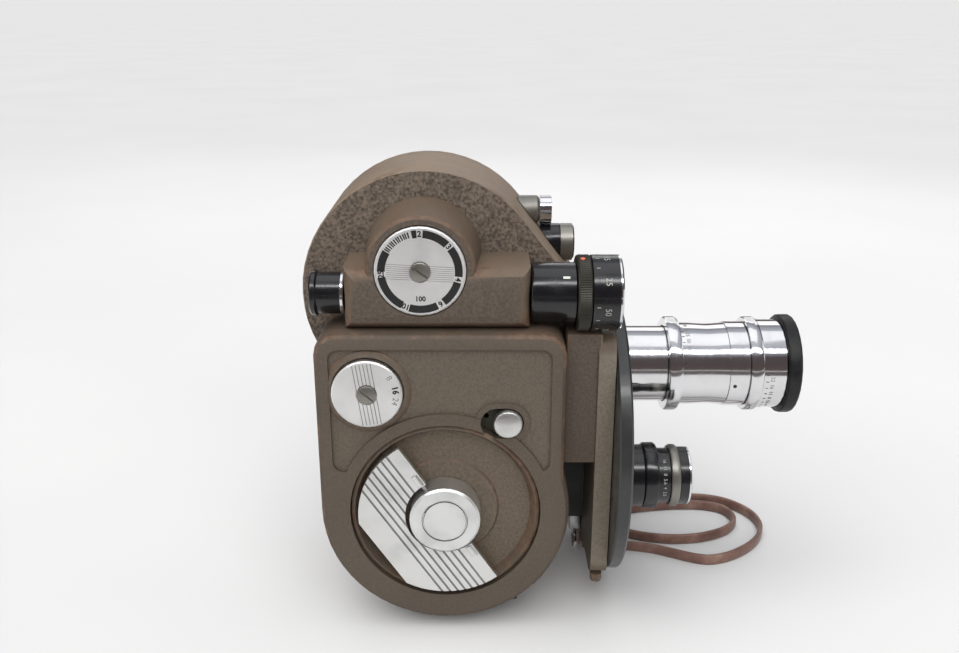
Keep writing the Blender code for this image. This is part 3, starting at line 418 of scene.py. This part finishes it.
def make_materials():
    """Every finish by its short name."""
    along_dial = (60, 60, 3200)
    round_x = (2000, 30, 30)
    turned = (900, 60, 900)
    return {
        "film": wrinkle_paint("film_housing_paint", (0.088, 0.068, 0.052), (0.170, 0.130, 0.096),
                              worn=0.35, contrast=0.48),
        "motor": wrinkle_paint("motor_housing_paint", (0.066, 0.051, 0.038), (0.063, 0.048, 0.036),
                               worn=0.5, panel=(0.094, 0.076, 0.058)),
        "finder": wrinkle_paint("finder_casting_paint", (0.074, 0.058, 0.045), (0.100, 0.073, 0.052),
                                worn=0.6, contrast=0.18),
        "plate": wrinkle_paint("front_plate_paint", (0.130, 0.111, 0.086), (0.105, 0.086, 0.064),
                               worn=0.6, contrast=0.14),
        "dish": wrinkle_paint("barrel_cover_paint", (0.096, 0.075, 0.055), (0.080, 0.063, 0.048),
                              worn=0.7, contrast=0.16),
        "black": enamel("gloss_black_enamel", (0.004, 0.004, 0.005), roughness=0.20, coat=0.25, dust=0.03),
        "turret": enamel("turret_enamel", (0.017, 0.018, 0.018), roughness=0.28, coat=0.2, dust=0.12),
        "slide": enamel("slide_enamel", (0.050, 0.046, 0.032), roughness=0.45, coat=0.0),
        "ink": enamel("black_ink", (0.008, 0.008, 0.008), roughness=0.45, coat=0.0, dust=0.0),
        "faint": enamel("faded_ink", (0.17, 0.17, 0.16), roughness=0.45, coat=0.0, dust=0.0),
        "white": enamel("white_ink", (0.52, 0.55, 0.48), roughness=0.4, coat=0.0),
        "pale": enamel("worn_white_ink", (0.26, 0.28, 0.24), roughness=0.45, coat=0.0),
        "red": enamel("index_red", (0.50, 0.085, 0.035), roughness=0.35, coat=0.2),
        # The groove faces take this darker grey: painted shade in the grooves of the dials, the key and the
        # hub.
        "groove": metal("groove_painted_shade", (0.34, 0.34, 0.33), roughness=0.45),
        "silver": metal("brushed_silver_surface", (0.88, 0.88, 0.86), roughness=0.32, lines=along_dial,
                        line_strength=0.08),
        "dial": metal("dial_silver", (0.96, 0.96, 0.95), roughness=0.48, lines=along_dial,
                      line_strength=0.05),
        "key": metal("key_silver", (0.78, 0.78, 0.76), roughness=0.34, lines=along_dial,
                     line_strength=0.06),
        "hub": metal("hub_silver", (0.82, 0.83, 0.82), roughness=0.35, lines=(900, 900, 900),
                     line_strength=0.05),
        "chrome": metal("chrome_plate", (0.77, 0.77, 0.78), roughness=0.075, lines=(2600, 30, 30),
                        line_strength=0.03, smudge=0.04),
        "satin": metal("satin_button", (0.72, 0.72, 0.70), roughness=0.38, lines=(700, 700, 700)),
        "drum": metal("drum_grey", (0.075, 0.072, 0.060), roughness=0.50, lines=round_x),
        "grey": metal("dull_grey_metal", (0.30, 0.29, 0.26), roughness=0.42, lines=round_x),
        "steel": metal("machined_steel", (0.50, 0.50, 0.50), roughness=0.30, lines=turned),
        "brass": metal("machined_brass", (0.62, 0.44, 0.18), roughness=0.28, lines=turned),
        "glass": make_glass(),
        "rubber": make_rubber(),
        "leather": make_leather(),
    }


# ---- pieces ----

def attach(piece, body, slot, *nodes):
    """Says which body the piece moves with and the CAD nodes it stands for. The slot argument is not used."""
    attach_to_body(piece, body)
    if nodes:
        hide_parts(*nodes)
    return piece


def new_piece(name, bm, finish):
    """An object of one material from a bmesh, which is used up."""
    mesh = bpy.data.meshes.new(name)
    bm.to_mesh(mesh)
    bm.free()
    custom = mesh.attributes.get("custom_normal")
    if custom:
        mesh.attributes.remove(custom)
    mesh.materials.clear()
    mesh.materials.append(finish)
    piece = bpy.data.objects.new(name, mesh)
    bpy.context.scene.collection.objects.link(piece)
    return piece


def soften(piece, width, angle=34, segments=2):
    """Smooth shading with real, slightly rounded edges."""
    piece.data.shade_smooth()
    piece.data.set_sharp_from_angle(angle=math.radians(angle))
    if width:
        bevel = piece.modifiers.new("rounded edges", "BEVEL")
        bevel.width = width
        bevel.segments = segments
        bevel.limit_method = "ANGLE"
        bevel.angle_limit = math.radians(angle)
        bevel.harden_normals = True
    return piece


def evaluated_mesh(piece):
    graph = bpy.context.evaluated_depsgraph_get()
    return bpy.data.meshes.new_from_object(piece.evaluated_get(graph))


def carve(piece, cutter):
    """Cuts the cutter out of the piece. The new faces keep the cutter's material."""
    cutting = piece.modifiers.new("carve", "BOOLEAN")
    cutting.operation = "DIFFERENCE"
    cutting.solver = "EXACT"
    cutting.material_mode = "TRANSFER"
    cutting.object = cutter
    mesh = evaluated_mesh(piece)
    piece.modifiers.remove(cutting)
    piece.data = mesh
    bpy.data.objects.remove(cutter)


def recolour(piece, finish, chosen):
    """Gives another material to the faces whose centre passes the test."""
    mesh = piece.data
    mesh.materials.append(finish)
    for face in mesh.polygons:
        if chosen(face.center):
            face.material_index = len(mesh.materials) - 1


def boxes(name, places, size, turn, finish):
    """Equal boxes at the places, all turned alike, as one cutter or strip set."""
    bm = bmesh.new()
    for place in places:
        matrix = Matrix.Translation(place) @ turn @ Matrix.Diagonal((*size, 1))
        bmesh.ops.create_cube(bm, size=1.0, matrix=matrix)
    return new_piece(name, bm, finish)


def refined(node, finish, width=0.00018, angle=34, cutter=None):
    """The CAD solid with welded faces, smooth shading and rounded edges, in place of the plain one."""
    bm = bmesh.new()
    bm.from_mesh(NODES[node].data)
    bmesh.ops.remove_doubles(bm, verts=bm.verts, dist=WELD)
    bmesh.ops.dissolve_limit(bm, angle_limit=math.radians(0.4), verts=bm.verts, edges=bm.edges)
    piece = new_piece(f"{node}_surface", bm, finish)
    if cutter:
        carve(piece, cutter)
    soften(piece, width, angle)
    return attach(piece, BODY_OF[node], SLOT_OF[node], node)


def lathe(name, profile, place, direction, finish, steps=TURNED_COLUMNS, fluted=(), depth=0.0, width=0.00012):
    """A turned surface from a closed loop of (radius, height), rippled by depth at the fluted indices."""
    bm = bmesh.new()
    turn = Vector((0, 0, 1)).rotation_difference(Vector(direction)).to_matrix()
    columns = []
    for column in range(steps):
        around = math.tau * column / steps
        ring = []
        for index, (radius, height) in enumerate(profile):
            if index in fluted and column % 2:
                radius -= depth
            point = turn @ Vector((radius * math.cos(around), radius * math.sin(around), height))
            ring.append(bm.verts.new(point + Vector(place)))
        columns.append(ring)
    count = len(profile)
    for column in range(steps):
        here, there = columns[column], columns[(column + 1) % steps]
        for index in range(count):
            following = (index + 1) % count
            corners = (here[index], here[following], there[following], there[index])
            bm.faces.new(corners)
    bmesh.ops.remove_doubles(bm, verts=bm.verts, dist=WELD)
    bmesh.ops.recalc_face_normals(bm, faces=bm.faces)
    return soften(new_piece(name, bm, finish), width)


def facing_near(centre):
    """Places (across, up, out) marks on a face towards -Y."""
    origin = Vector(centre)
    return lambda across, up, out: origin + Vector((across, -out, up))


def round_dial(centre, radius, clock):
    """Places marks on a face towards -Y, on a circle at a clock angle in degrees, tops outwards."""
    origin = Vector(centre)
    middle = math.radians(clock)

    def place(across, up, out):
        around = middle + across / radius
        reach = radius + up
        return origin + Vector((reach * math.sin(around), -out, reach * math.cos(around)))

    return place


def on_barrel(axis, radius, along, elevation, flip=1):
    """Places marks round a barrel along X. elevation is measured from -Y towards +Z, in degrees."""
    y, z = axis

    def place(across, up, out):
        around = math.radians(elevation) - flip * across / radius
        reach = radius + out
        return Vector((along + flip * up, y - reach * math.cos(around), z + reach * math.sin(around)))

    return place


def lettering(name, text, height, place, finish, body, slot, bold=0.0):
    """Generic figures as thin raised ink."""
    curve = bpy.data.curves.new(name, "FONT")
    curve.body = text
    curve.size = height / 0.70
    curve.align_x = "CENTER"
    curve.align_y = "CENTER"
    curve.extrude = INK / 2
    curve.resolution_u = 3
    curve.offset = bold
    source = bpy.data.objects.new(f"{name}_source", curve)
    bpy.context.scene.collection.objects.link(source)
    mesh = evaluated_mesh(source)
    bpy.data.objects.remove(source)
    for vertex in mesh.vertices:
        vertex.co = place(vertex.co.x, vertex.co.y, vertex.co.z + INK / 2)
    mesh.materials.clear()
    mesh.materials.append(finish)
    piece = bpy.data.objects.new(name, mesh)
    bpy.context.scene.collection.objects.link(piece)
    return attach(piece, body, slot)


def ink_band(name, spans, inner, outer, centre, finish, body, slot):
    """Arcs of a painted ring on a face towards -Y. spans are clock angles in degrees."""
    bm = bmesh.new()
    origin = Vector(centre)
    for start, end in spans:
        steps = max(2, round((end - start) / 4))
        rows = []
        for step in range(steps + 1):
            around = math.radians(start + (end - start) * step / steps)
            outwards = Vector((math.sin(around), 0, math.cos(around)))
            rows.append([bm.verts.new(origin + outwards * radius + Vector((0, lift, 0)))
                         for radius, lift in ((inner, 0), (outer, 0), (outer, -INK), (inner, -INK))])
        for first, second in zip(rows, rows[1:]):
            for corner in range(4):
                following = (corner + 1) % 4
                bm.faces.new((first[corner], first[following], second[following], second[corner]))
        bm.faces.new(rows[0])
        bm.faces.new(reversed(rows[-1]))
    bmesh.ops.recalc_face_normals(bm, faces=bm.faces)
    return attach(new_piece(name, bm, finish), body, slot)


def ticks_on_barrel(name, axis, radius, along, length, elevations, finish, body, slot, thickness=0.00025):
    """Short lines along X round a barrel."""
    bm = bmesh.new()
    for elevation in elevations:
        place = on_barrel(axis, radius, along, elevation)
        corners = []
        for out in (0, INK):
            for across, up in ((-1, -1), (1, -1), (1, 1), (-1, 1)):
                corners.append(bm.verts.new(place(across * thickness / 2, up * length / 2, out)))
        bottom, top = corners[:4], corners[4:]
        bm.faces.new(reversed(bottom))
        bm.faces.new(top)
        for corner in range(4):
            following = (corner + 1) % 4
            bm.faces.new((bottom[corner], bottom[following], top[following], top[corner]))
    bmesh.ops.recalc_face_normals(bm, faces=bm.faces)
    return attach(new_piece(name, bm, finish), body, slot)


# ---- wrist strap ----

STRAP_WIDTH = 0.0056
STRAP_THICKNESS = 0.0024
STRAP_HEIGHT = 0.0029        # of its middle above the table
STRAP_SIDES = 16             # corners of its cross-section
LUG_Y = 0.008

STRAP_OUT = ((0.0691, LUG_Y + 0.0032, 0.0120), (0.0691, 0.0200, 0.0052), (0.0699, 0.0330, 0.0032))
STRAP_FLAT = ((0.0750, 0.0470), (0.0845, 0.0570), (0.0955, 0.0630), (0.1090, 0.0668), (0.1250, 0.0690),
              (0.1450, 0.0690), (0.1600, 0.0630), (0.1700, 0.0500), (0.1715, 0.0350), (0.1640, 0.0200),
              (0.1500, 0.0080), (0.1350, 0.0030), (0.1210, 0.0080), (0.1080, 0.0140), (0.0940, 0.0170),
              (0.0840, 0.0190), (0.0805, 0.0245), (0.0830, 0.0305), (0.0910, 0.0320), (0.1040, 0.0265),
              (0.1200, 0.0235), (0.1370, 0.0255), (0.1520, 0.0330), (0.1590, 0.0440), (0.1550, 0.0560),
              (0.1420, 0.0610), (0.1230, 0.0605), (0.1050, 0.0570), (0.0910, 0.0515), (0.0820, 0.0430))
STRAP_BACK = ((0.0768, 0.0330, 0.0030), (0.0752, 0.0220, 0.0042), (0.0736, 0.0130, 0.0072),
              (0.0703, LUG_Y - 0.0032, 0.0124))


def strap_route():
    """The same route as the CAD lace, then smoothed."""
    flat = [(x, y, STRAP_HEIGHT) for x, y in STRAP_FLAT]
    points = [Vector(point) for point in (*STRAP_OUT, *flat, *STRAP_BACK)]
    for _ in range(2):
        ends = [2 * points[0] - points[1], *points, 2 * points[-1] - points[-2]]
        finer = []
        for before, start, end, after in zip(ends, ends[1:], ends[2:], ends[3:]):
            finer += [start, (9 * (start + end) - before - after) / 16]
        points = finer + [points[-1]]
    return points


def rounded_side(share, width):
    """Half a width of a superellipse, a rectangle with well rounded corners."""
    return math.copysign(abs(share) ** 0.6, share) * width / 2


def make_strap():
    """A flat leather lace on its edge, swept along its route and leaning gently from side to side."""
    path = strap_route()
    bm = bmesh.new()
    rows = []
    for index, point in enumerate(path):
        before, after = path[max(index - 1, 0)], path[min(index + 1, len(path) - 1)]
        forward = (after - before).normalized()
        across = forward.cross(Vector((0, 0, 1)))
        across = across.normalized() if across.length > 0.2 else Vector((1, 0, 0))
        up = across.cross(forward).normalized()
        roll = math.radians(5) * math.sin(index * 0.21)
        leaning_across = across * math.cos(roll) + up * math.sin(roll)
        leaning_up = up * math.cos(roll) - across * math.sin(roll)
        row = []
        for side in range(STRAP_SIDES):
            around = math.tau * side / STRAP_SIDES
            thick = rounded_side(math.cos(around), STRAP_THICKNESS)
            tall = rounded_side(math.sin(around), STRAP_WIDTH)
            row.append(bm.verts.new(point + leaning_across * thick + leaning_up * tall))
        rows.append(row)
    for first, second in zip(rows, rows[1:]):
        for side in range(STRAP_SIDES):
            following = (side + 1) % STRAP_SIDES
            bm.faces.new((first[side], first[following], second[following], second[side]))
    bm.faces.new(reversed(rows[0]))
    bm.faces.new(rows[-1])
    bmesh.ops.recalc_face_normals(bm, faces=bm.faces)
    strap = soften(new_piece("wrist_strap_surface", bm, FINISH["leather"]), 0, 50)
    attach(strap, "root", "strap_leather", "wrist_strap")
    length = sum((end - start).length for start, end in zip(path, path[1:]))
    tuple(path[0])
    [tuple(point) for point in path]


# ---- dials, key and button ----

def lines_on_face(name, centre, offsets, length, width, deep, tilt, finish):
    """Shallow grooves across a face towards -Y, whose faces take the given finish as painted shade. offsets
    are distances below the centre.
    """
    turn = Matrix.Rotation(math.radians(tilt), 4, "Y")
    down = turn.to_3x3() @ Vector((0, 0, -1))
    places = [Vector(centre) + down * offset for offset in offsets]
    return boxes(name, places, (length, 2 * deep, width), turn, finish)


PARALLAX_BAND = (0.0147, 0.0180)          # inner and outer radius of the black ring
PARALLAX_FIGURES_RADIUS = 0.0163
PARALLAX_SPANS = ((5, 44), (52, 97), (106, 143), (154, 197), (208, 262), (271, 302), (349, 356))
PARALLAX_FIGURES = (("2", 0), ("3", 48), ("4", 101.5), ("6", 148.5), ("10", 202.5), ("25", 266.5))


def make_parallax_dial():
    """The big dial on the finder's boss: fine lines, a broken black ring and distances between its arcs."""
    low, _, centre = box_of("parallax_dial")
    face = (centre.x, low.y, centre.z)
    marks = {"finish": FINISH["ink"], "body": "parallax_dial", "slot": "brushed_silver"}
    offsets = [step * 0.0009 for step in range(-3, 5)]
    lines = lines_on_face("parallax_lines", face, offsets, 0.0286, 0.00016, 0.00010, 3, FINISH["groove"])
    refined("parallax_dial", FINISH["dial"], cutter=lines)
    ink_band("parallax_band", PARALLAX_SPANS, *PARALLAX_BAND, face, **marks)
    for label, clock in PARALLAX_FIGURES:
        place = round_dial(face, PARALLAX_FIGURES_RADIUS, clock)
        lettering(f"parallax_figure_{label}", label, 0.0024, place, **marks, bold=0.00010)
    for index in range(8):
        place = round_dial(face, PARALLAX_FIGURES_RADIUS, 306 + index * 5.4)
        dashes = "I" if index % 2 else "II"
        lettering(f"parallax_dash_{index}", dashes, 0.0024, place, **marks, bold=0.00012)
    below = facing_near((face[0], face[1], face[2] - 0.0118))
    lettering("parallax_mark", "100", 0.0021, below, **marks, bold=0.00010)
    refined("parallax_dial_screw", FINISH["grey"])


SPEED_FIGURES_RADIUS = 0.0125
SPEED_POINTER_RISE = 0.0194               # of the arrow's tip above the dial's middle


def make_speed_dial():
    """The frame-rate dial, with the chosen figure dark and its neighbours faded."""
    low, _, centre = box_of("speed_dial")
    face = (centre.x, low.y, centre.z)
    offsets = [-0.0040 + step * 0.0016 for step in range(6)]
    lines = lines_on_face("speed_lines", face, offsets, 0.0280, 0.00034, 0.00008, 82, FINISH["groove"])
    refined("speed_dial", FINISH["silver"], cutter=lines)
    for label, clock, ink, bold in (("8", 52, "faint", 0.0), ("16", 80, "ink", 0.00014),
                                    ("24", 104, "faint", 0.0)):
        place = round_dial(face, SPEED_FIGURES_RADIUS, clock)
        lettering(f"speed_figure_{label}", label, 0.0026, place, FINISH[ink], "speed_dial",
                  "brushed_silver", bold=bold)
    refined("speed_dial_screw", FINISH["grey"])
    make_speed_collar(centre)
    make_speed_pointer(centre)


def make_speed_collar(centre):
    """The worn collar round the dial belongs to the housing."""
    profile = [(0.0158, 0), (0.0158, 0.0016), (0.0172, 0.0016), (0.0188, 0.0006), (0.0190, 0)]
    foot = (centre.x, PANEL_FLOOR + 0.0002, centre.z)
    ring = lathe("speed_dial_collar", profile, foot, TOWARDS_VIEWER, FINISH["dish"], width=0.0003)
    attach(ring, "root", "wrinkle_paint")


def make_speed_pointer(centre):
    """The small white arrow above the dial, half sunk in the panel."""
    bm = bmesh.new()
    half_width, height, half_depth = 0.0011, 0.0026, 0.0003
    corners = [(0, 0), (half_width, height), (-half_width, height)]
    rise = centre.z + SPEED_POINTER_RISE
    near = [bm.verts.new((centre.x + x, PANEL_FLOOR - half_depth, rise + z)) for x, z in corners]
    far = [bm.verts.new((centre.x + x, PANEL_FLOOR + half_depth, rise + z)) for x, z in corners]
    bm.faces.new(near)
    bm.faces.new(reversed(far))
    for corner in range(3):
        following = (corner + 1) % 3
        bm.faces.new((near[corner], far[corner], far[following], near[following]))
    bmesh.ops.recalc_face_normals(bm, faces=bm.faces)
    attach(new_piece("speed_pointer", bm, FINISH["white"]), "root", "wrinkle_paint")


KEY_FACE_Y = -0.05525
KEY_GROOVE_ALONG = (0.56, 0.0, -0.83)     # the grooves run with the key's straight edge
KEY_GROOVE_SPACING = 0.0031


def make_winding_key():
    """The folding key with its long grooves, and the hub with its turned ring."""
    hub = box_of("winding_hub")[2]
    along = Vector(KEY_GROOVE_ALONG).normalized()
    across = Vector((-along.z, 0.0, along.x)).normalized()
    turn = Matrix.Rotation(math.atan2(-along.z, along.x), 4, "Y")
    middle = Vector((hub.x, KEY_FACE_Y, hub.z))
    places = [middle - across * (0.0046 + step * KEY_GROOVE_SPACING) for step in range(7)]
    grooves = boxes("key_grooves", places, (0.090, 0.0007, 0.0009), turn, FINISH["groove"])
    refined("winding_key", FINISH["key"], width=0.00025, cutter=grooves)
    surface = refined("winding_hub", FINISH["hub"], width=0.0001)
    # The hub's ring groove is painted grey: painted shade in the groove.
    recolour(surface, FINISH["groove"],
             lambda face: 0.0094 < math.hypot(face.x - hub.x, face.z - hub.z) < 0.0103)
    refined("winding_arbor", FINISH["steel"])
    refined("key_hinge_pin", FINISH["steel"])


def make_button():
    """The start button, and the slide beneath it with its small hole, whose walls are painted black as shade.
    """
    refined("start_button", FINISH["satin"], width=0.0003)
    low, _, centre = box_of("lock_slide")
    profile = [(0.0, -0.002), (0.0011, -0.002), (0.0011, 0.002), (0.0, 0.002)]
    place = (centre.x - 0.0094, low.y, centre.z)
    # The hole's walls take black ink: painted shade in the hole.
    hole = lathe("slide_hole", profile, place, TOWARDS_VIEWER, FINISH["ink"], steps=24, width=0)
    refined("lock_slide", FINISH["slide"], cutter=hole)


# ---- finder ----

def fluted_band(name, crest, length, chamfer, bore, place, finish, teeth, depth):
    """A ring along X with fine straight flutes on its band and a chamfer at each end."""
    profile = [(crest - 0.0006, length), (crest, length - chamfer), (crest, chamfer), (crest - 0.0006, 0),
               (bore, 0), (bore, length)]
    return lathe(name, profile, place, FORWARD, finish, steps=2 * teeth, fluted=(1, 2), depth=depth, width=0)


def make_finder():
    """The finder along the top: eyepiece, tube, fluted drum with its red dot, and objective turret."""
    y, z = box_of("finder_tube")[2].yz
    axis = (y, z)
    refined("finder_casting", FINISH["finder"], width=0.0005)
    refined("finder_eyepiece", FINISH["black"], width=0.0003)
    refined("finder_tube", FINISH["black"], width=0.0002)
    low, high, _ = box_of("finder_drum")
    crest = (high.z - low.z) / 2
    drum = fluted_band("finder_drum_surface", crest, high.x - low.x, 0.0007, 0.0102, (low.x, y, z),
                       FINISH["drum"], 100, 0.00022)
    attach(drum, BODY_OF["finder_drum"], "grey_metal", "finder_drum")
    profile = [(0.0, 0.0), (0.0011, 0.0), (0.0010, 0.0003), (0.0, 0.0004)]
    place = (low.x + 0.0024, y - 0.0035, z + crest - 0.0006)
    dot = lathe("finder_index_dot", profile, place, (0, -0.2, 1), FINISH["red"], steps=24, width=0)
    attach(dot, BODY_OF["finder_drum"], "grey_metal")

    refined("finder_objective", FINISH["black"], width=0.0002)
    low, high, _ = box_of("finder_objective")
    body = BODY_OF["finder_objective"]
    outer = crest + 0.00004
    profile = [(crest - 0.0007, 0.0003), (outer, -0.0004), (outer, -0.0011), (crest - 0.0008, -0.0011)]
    rim = lathe("finder_objective_rim", profile, (high.x, y, z), FORWARD, FINISH["chrome"], width=0)
    attach(rim, body, "chrome")
    for index, label in enumerate(("15", "25", "50", "75", "100", "150")):
        place = on_barrel(axis, crest, low.x + 0.0062, 78 - index * 46)
        lettering(f"objective_figure_{label}", label, 0.0026, place, FINISH["pale"], body, "black_enamel")
    ticks_on_barrel("objective_ticks", axis, crest, low.x + 0.0022, 0.0016, range(55, 376, 23),
                    FINISH["pale"], body, "black_enamel", 0.00035)
    low, high, _ = box_of("finder_tube")
    ticks_on_barrel("finder_tube_index", axis, (high.z - low.z) / 2, 0.0525, 0.0030, (44, 46.5),
                    FINISH["white"], "root", "black_enamel", 0.0005)
    high = box_of("finder_eyepiece")[1]
    profile = [(0.0094, 0.0016), (0.0098, 0.0013), (0.0098, 0.0003), (0.0094, 0.0), (0.0089, 0.0),
               (0.0089, 0.0016)]
    ring = lathe("eyepiece_ring", profile, (high.x, y, z), BACKWARD, FINISH["chrome"], width=0)
    attach(ring, BODY_OF["finder_eyepiece"], "chrome")
    for node in ("finder_rear_glass", "finder_front_glass"):
        refined(node, FINISH["glass"], width=0)


# ---- turret and lenses ----

LARGE_RING = 0.02            # rings of more than this radius have the thicker wall
LENS_SEAT = 0.0003           # of the lenses in front of the turret disc


def knurled_ring(node, finish, axis, teeth, depth):
    """A CAD ring round an X axis, with fine straight flutes on its band."""
    low, high, _ = box_of(node)
    crest = (high.z - low.z) / 2
    wall = 0.0042 if crest > LARGE_RING else 0.0022
    ring = fluted_band(f"{node}_surface", crest, high.x - low.x, 0.0008, crest - wall, (low.x, *axis),
                       finish, teeth, depth)
    return attach(ring, BODY_OF[node], SLOT_OF[node], node)


def lens_seat():
    """The X that the lens markings are measured from."""
    return box_of("turret_disc")[1].x + LENS_SEAT


def make_turret():
    """The disc, its pivot and the plug of the spare port, whose coin slot is a black strip of painted shade.
    """
    refined("turret_disc", FINISH["turret"], width=0.0004, angle=25)
    refined("turret_pivot", FINISH["steel"], width=0.0003)
    refined("port_plug", FINISH["black"], width=0.0003)
    _, high, centre = box_of("port_plug")
    # A thin strip of black ink on the plug's face: painted shade standing for the coin slot.
    slot = boxes("port_plug_slot_shade", [Vector((high.x, centre.y, centre.z))], (0.00012, 0.012, 0.0016),
                 Matrix.Rotation(math.radians(30), 4, "X"), FINISH["ink"])
    attach(slot, "turret", "black_enamel")


def make_long_lens():
    """The long chrome lens, with faint scales, an index dot and a rubber hood."""
    axis = tuple(box_of("long_lens_focus_ring")[2].yz)
    refined("long_lens_barrel", FINISH["chrome"], width=0.0003)
    knurled_ring("long_lens_focus_ring", FINISH["chrome"], axis, 84, 0.00045)
    knurled_ring("long_lens_aperture_ring", FINISH["chrome"], axis, 84, 0.00045)
    refined("long_lens_hood", FINISH["rubber"], width=0.0006)
    for node in ("long_lens_front_glass", "long_lens_rear_glass"):
        refined(node, FINISH["glass"], width=0)
    seat = lens_seat()
    body, slot = "turret", "chrome"
    place = on_barrel(axis, 0.0220, seat + 0.0730, -24)
    lettering("long_lens_aperture_scale", "22  16  11  8  5.6  4", 0.0018, place, FINISH["faint"], body, slot)
    ticks_on_barrel("long_lens_aperture_ticks", axis, 0.0220, seat + 0.0706, 0.0014, range(-58, 12, 9),
                    FINISH["ink"], body, slot)
    place = on_barrel(axis, 0.0203, seat + 0.0334, 62)
    lettering("long_lens_distance_scale", "10  15  25  50  100", 0.0018, place, FINISH["faint"], body, slot)
    ticks_on_barrel("long_lens_distance_ticks", axis, 0.0203, seat + 0.0312, 0.0012, range(20, 110, 10),
                    FINISH["ink"], body, slot)
    dot_angle = math.radians(-12)
    profile = [(0.0, 0.0), (0.0009, 0.0), (0.0009, 0.00006), (0.0, 0.00006)]
    place = on_barrel(axis, 0.0210, seat + 0.0555, -12)(0, 0, 0)
    outwards = (0, -math.cos(dot_angle), math.sin(dot_angle))
    dot = lathe("long_lens_index_dot", profile, place, outwards, FINISH["ink"], steps=20, width=0)
    attach(dot, body, slot)


def make_normal_lens():
    """The short black lens with a white scale and a bright front rim."""
    axis = tuple(box_of("normal_lens_focus_ring")[2].yz)
    refined("normal_lens_barrel", FINISH["black"], width=0.0003)
    knurled_ring("normal_lens_focus_ring", FINISH["black"], axis, 60, 0.00035)
    knurled_ring("normal_lens_aperture_ring", FINISH["grey"], axis, 60, 0.00030)
    refined("normal_lens_glass", FINISH["glass"], width=0)
    seat = lens_seat()
    place = on_barrel(axis, 0.0130, seat + 0.0187, 20)
    lettering("normal_lens_scale", "16  11  8  5.6  4  2.8", 0.0016, place, FINISH["pale"], "turret",
              "black_enamel")
    profile = [(0.0137, 0.0), (0.0137, 0.0008), (0.0128, 0.0014), (0.0104, 0.0014), (0.0104, 0.0)]
    front = lathe("normal_lens_front_rim", profile, (seat + 0.0300, *axis), FORWARD, FINISH["chrome"])
    attach(front, "turret", "black_enamel")


# ---- casings, controls behind and mechanism ----

CASINGS = {                 # finish, and width of the rounded edges
    "body_shell": ("film", 0.0005),
    "film_door": ("film", 0.0005),
    "motor_housing": ("motor", 0.0004),
    "barrel_cover": ("dish", 0.0003),
    "front_plate": ("plate", 0.0006),
    "base_pad": ("finder", 0.0005),
}
PLAIN = {
    "front_plate_screw": "finder",
    "mechanism_plate": "grey",
    "film_gate": "chrome",
    "strap_lug": "steel",
    "strap_ring": "chrome",
    "focuser_body": "black",
    "focuser_eyepiece_mount": "grey",
    "focuser_eyepiece": "chrome",
    "door_latch_upper": "silver",
    "door_latch_lower": "silver",
    "spring_barrel": "steel",
    "barrel_gear": "brass",
    "mainspring": "steel",
    "sprocket_shaft": "steel",
    "idler_gear": "brass",
    "feed_sprocket": "steel",
    "governor": "brass",
    "supply_spindle": "steel",
    "takeup_spindle": "steel",
    "pressure_plate": "chrome",
    "pulldown_claw": "steel",
    "shutter": "black",
    "focuser_collar": "grey",
}
FRONT_PLATE_THICKNESS = 0.0079
SHADE_PAINTED_WEB_TOP = 0.0797             # the plate's shoulder is above this height, its web below, whose black is painted shade


def make_rest():
    """The painted casings, then every piece that needs no markings."""
    plate_back = box_of("front_plate")[1].x - FRONT_PLATE_THICKNESS
    for node, (finish, width) in CASINGS.items():
        surface = refined(node, FINISH[finish], width=width, angle=25)
        if node == "front_plate":
            recolour(surface, FINISH["finder"], lambda face: face.x < plate_back and face.z > SHADE_PAINTED_WEB_TOP)
            # Below the shoulder the plate's web is painted black: painted shade in the gap between the motor
            # housing and the plate.
            recolour(surface, FINISH["ink"], lambda face: face.x < plate_back and face.z < SHADE_PAINTED_WEB_TOP)
    for node, finish in PLAIN.items():
        refined(node, FINISH[finish], width=0.00012)


FINISH = make_materials()
make_camera()
make_strap()
make_world()
make_lights()
make_floor()
make_rest()
make_parallax_dial()
make_speed_dial()
make_winding_key()
make_button()
make_finder()
make_turret()
make_long_lens()
make_normal_lens()
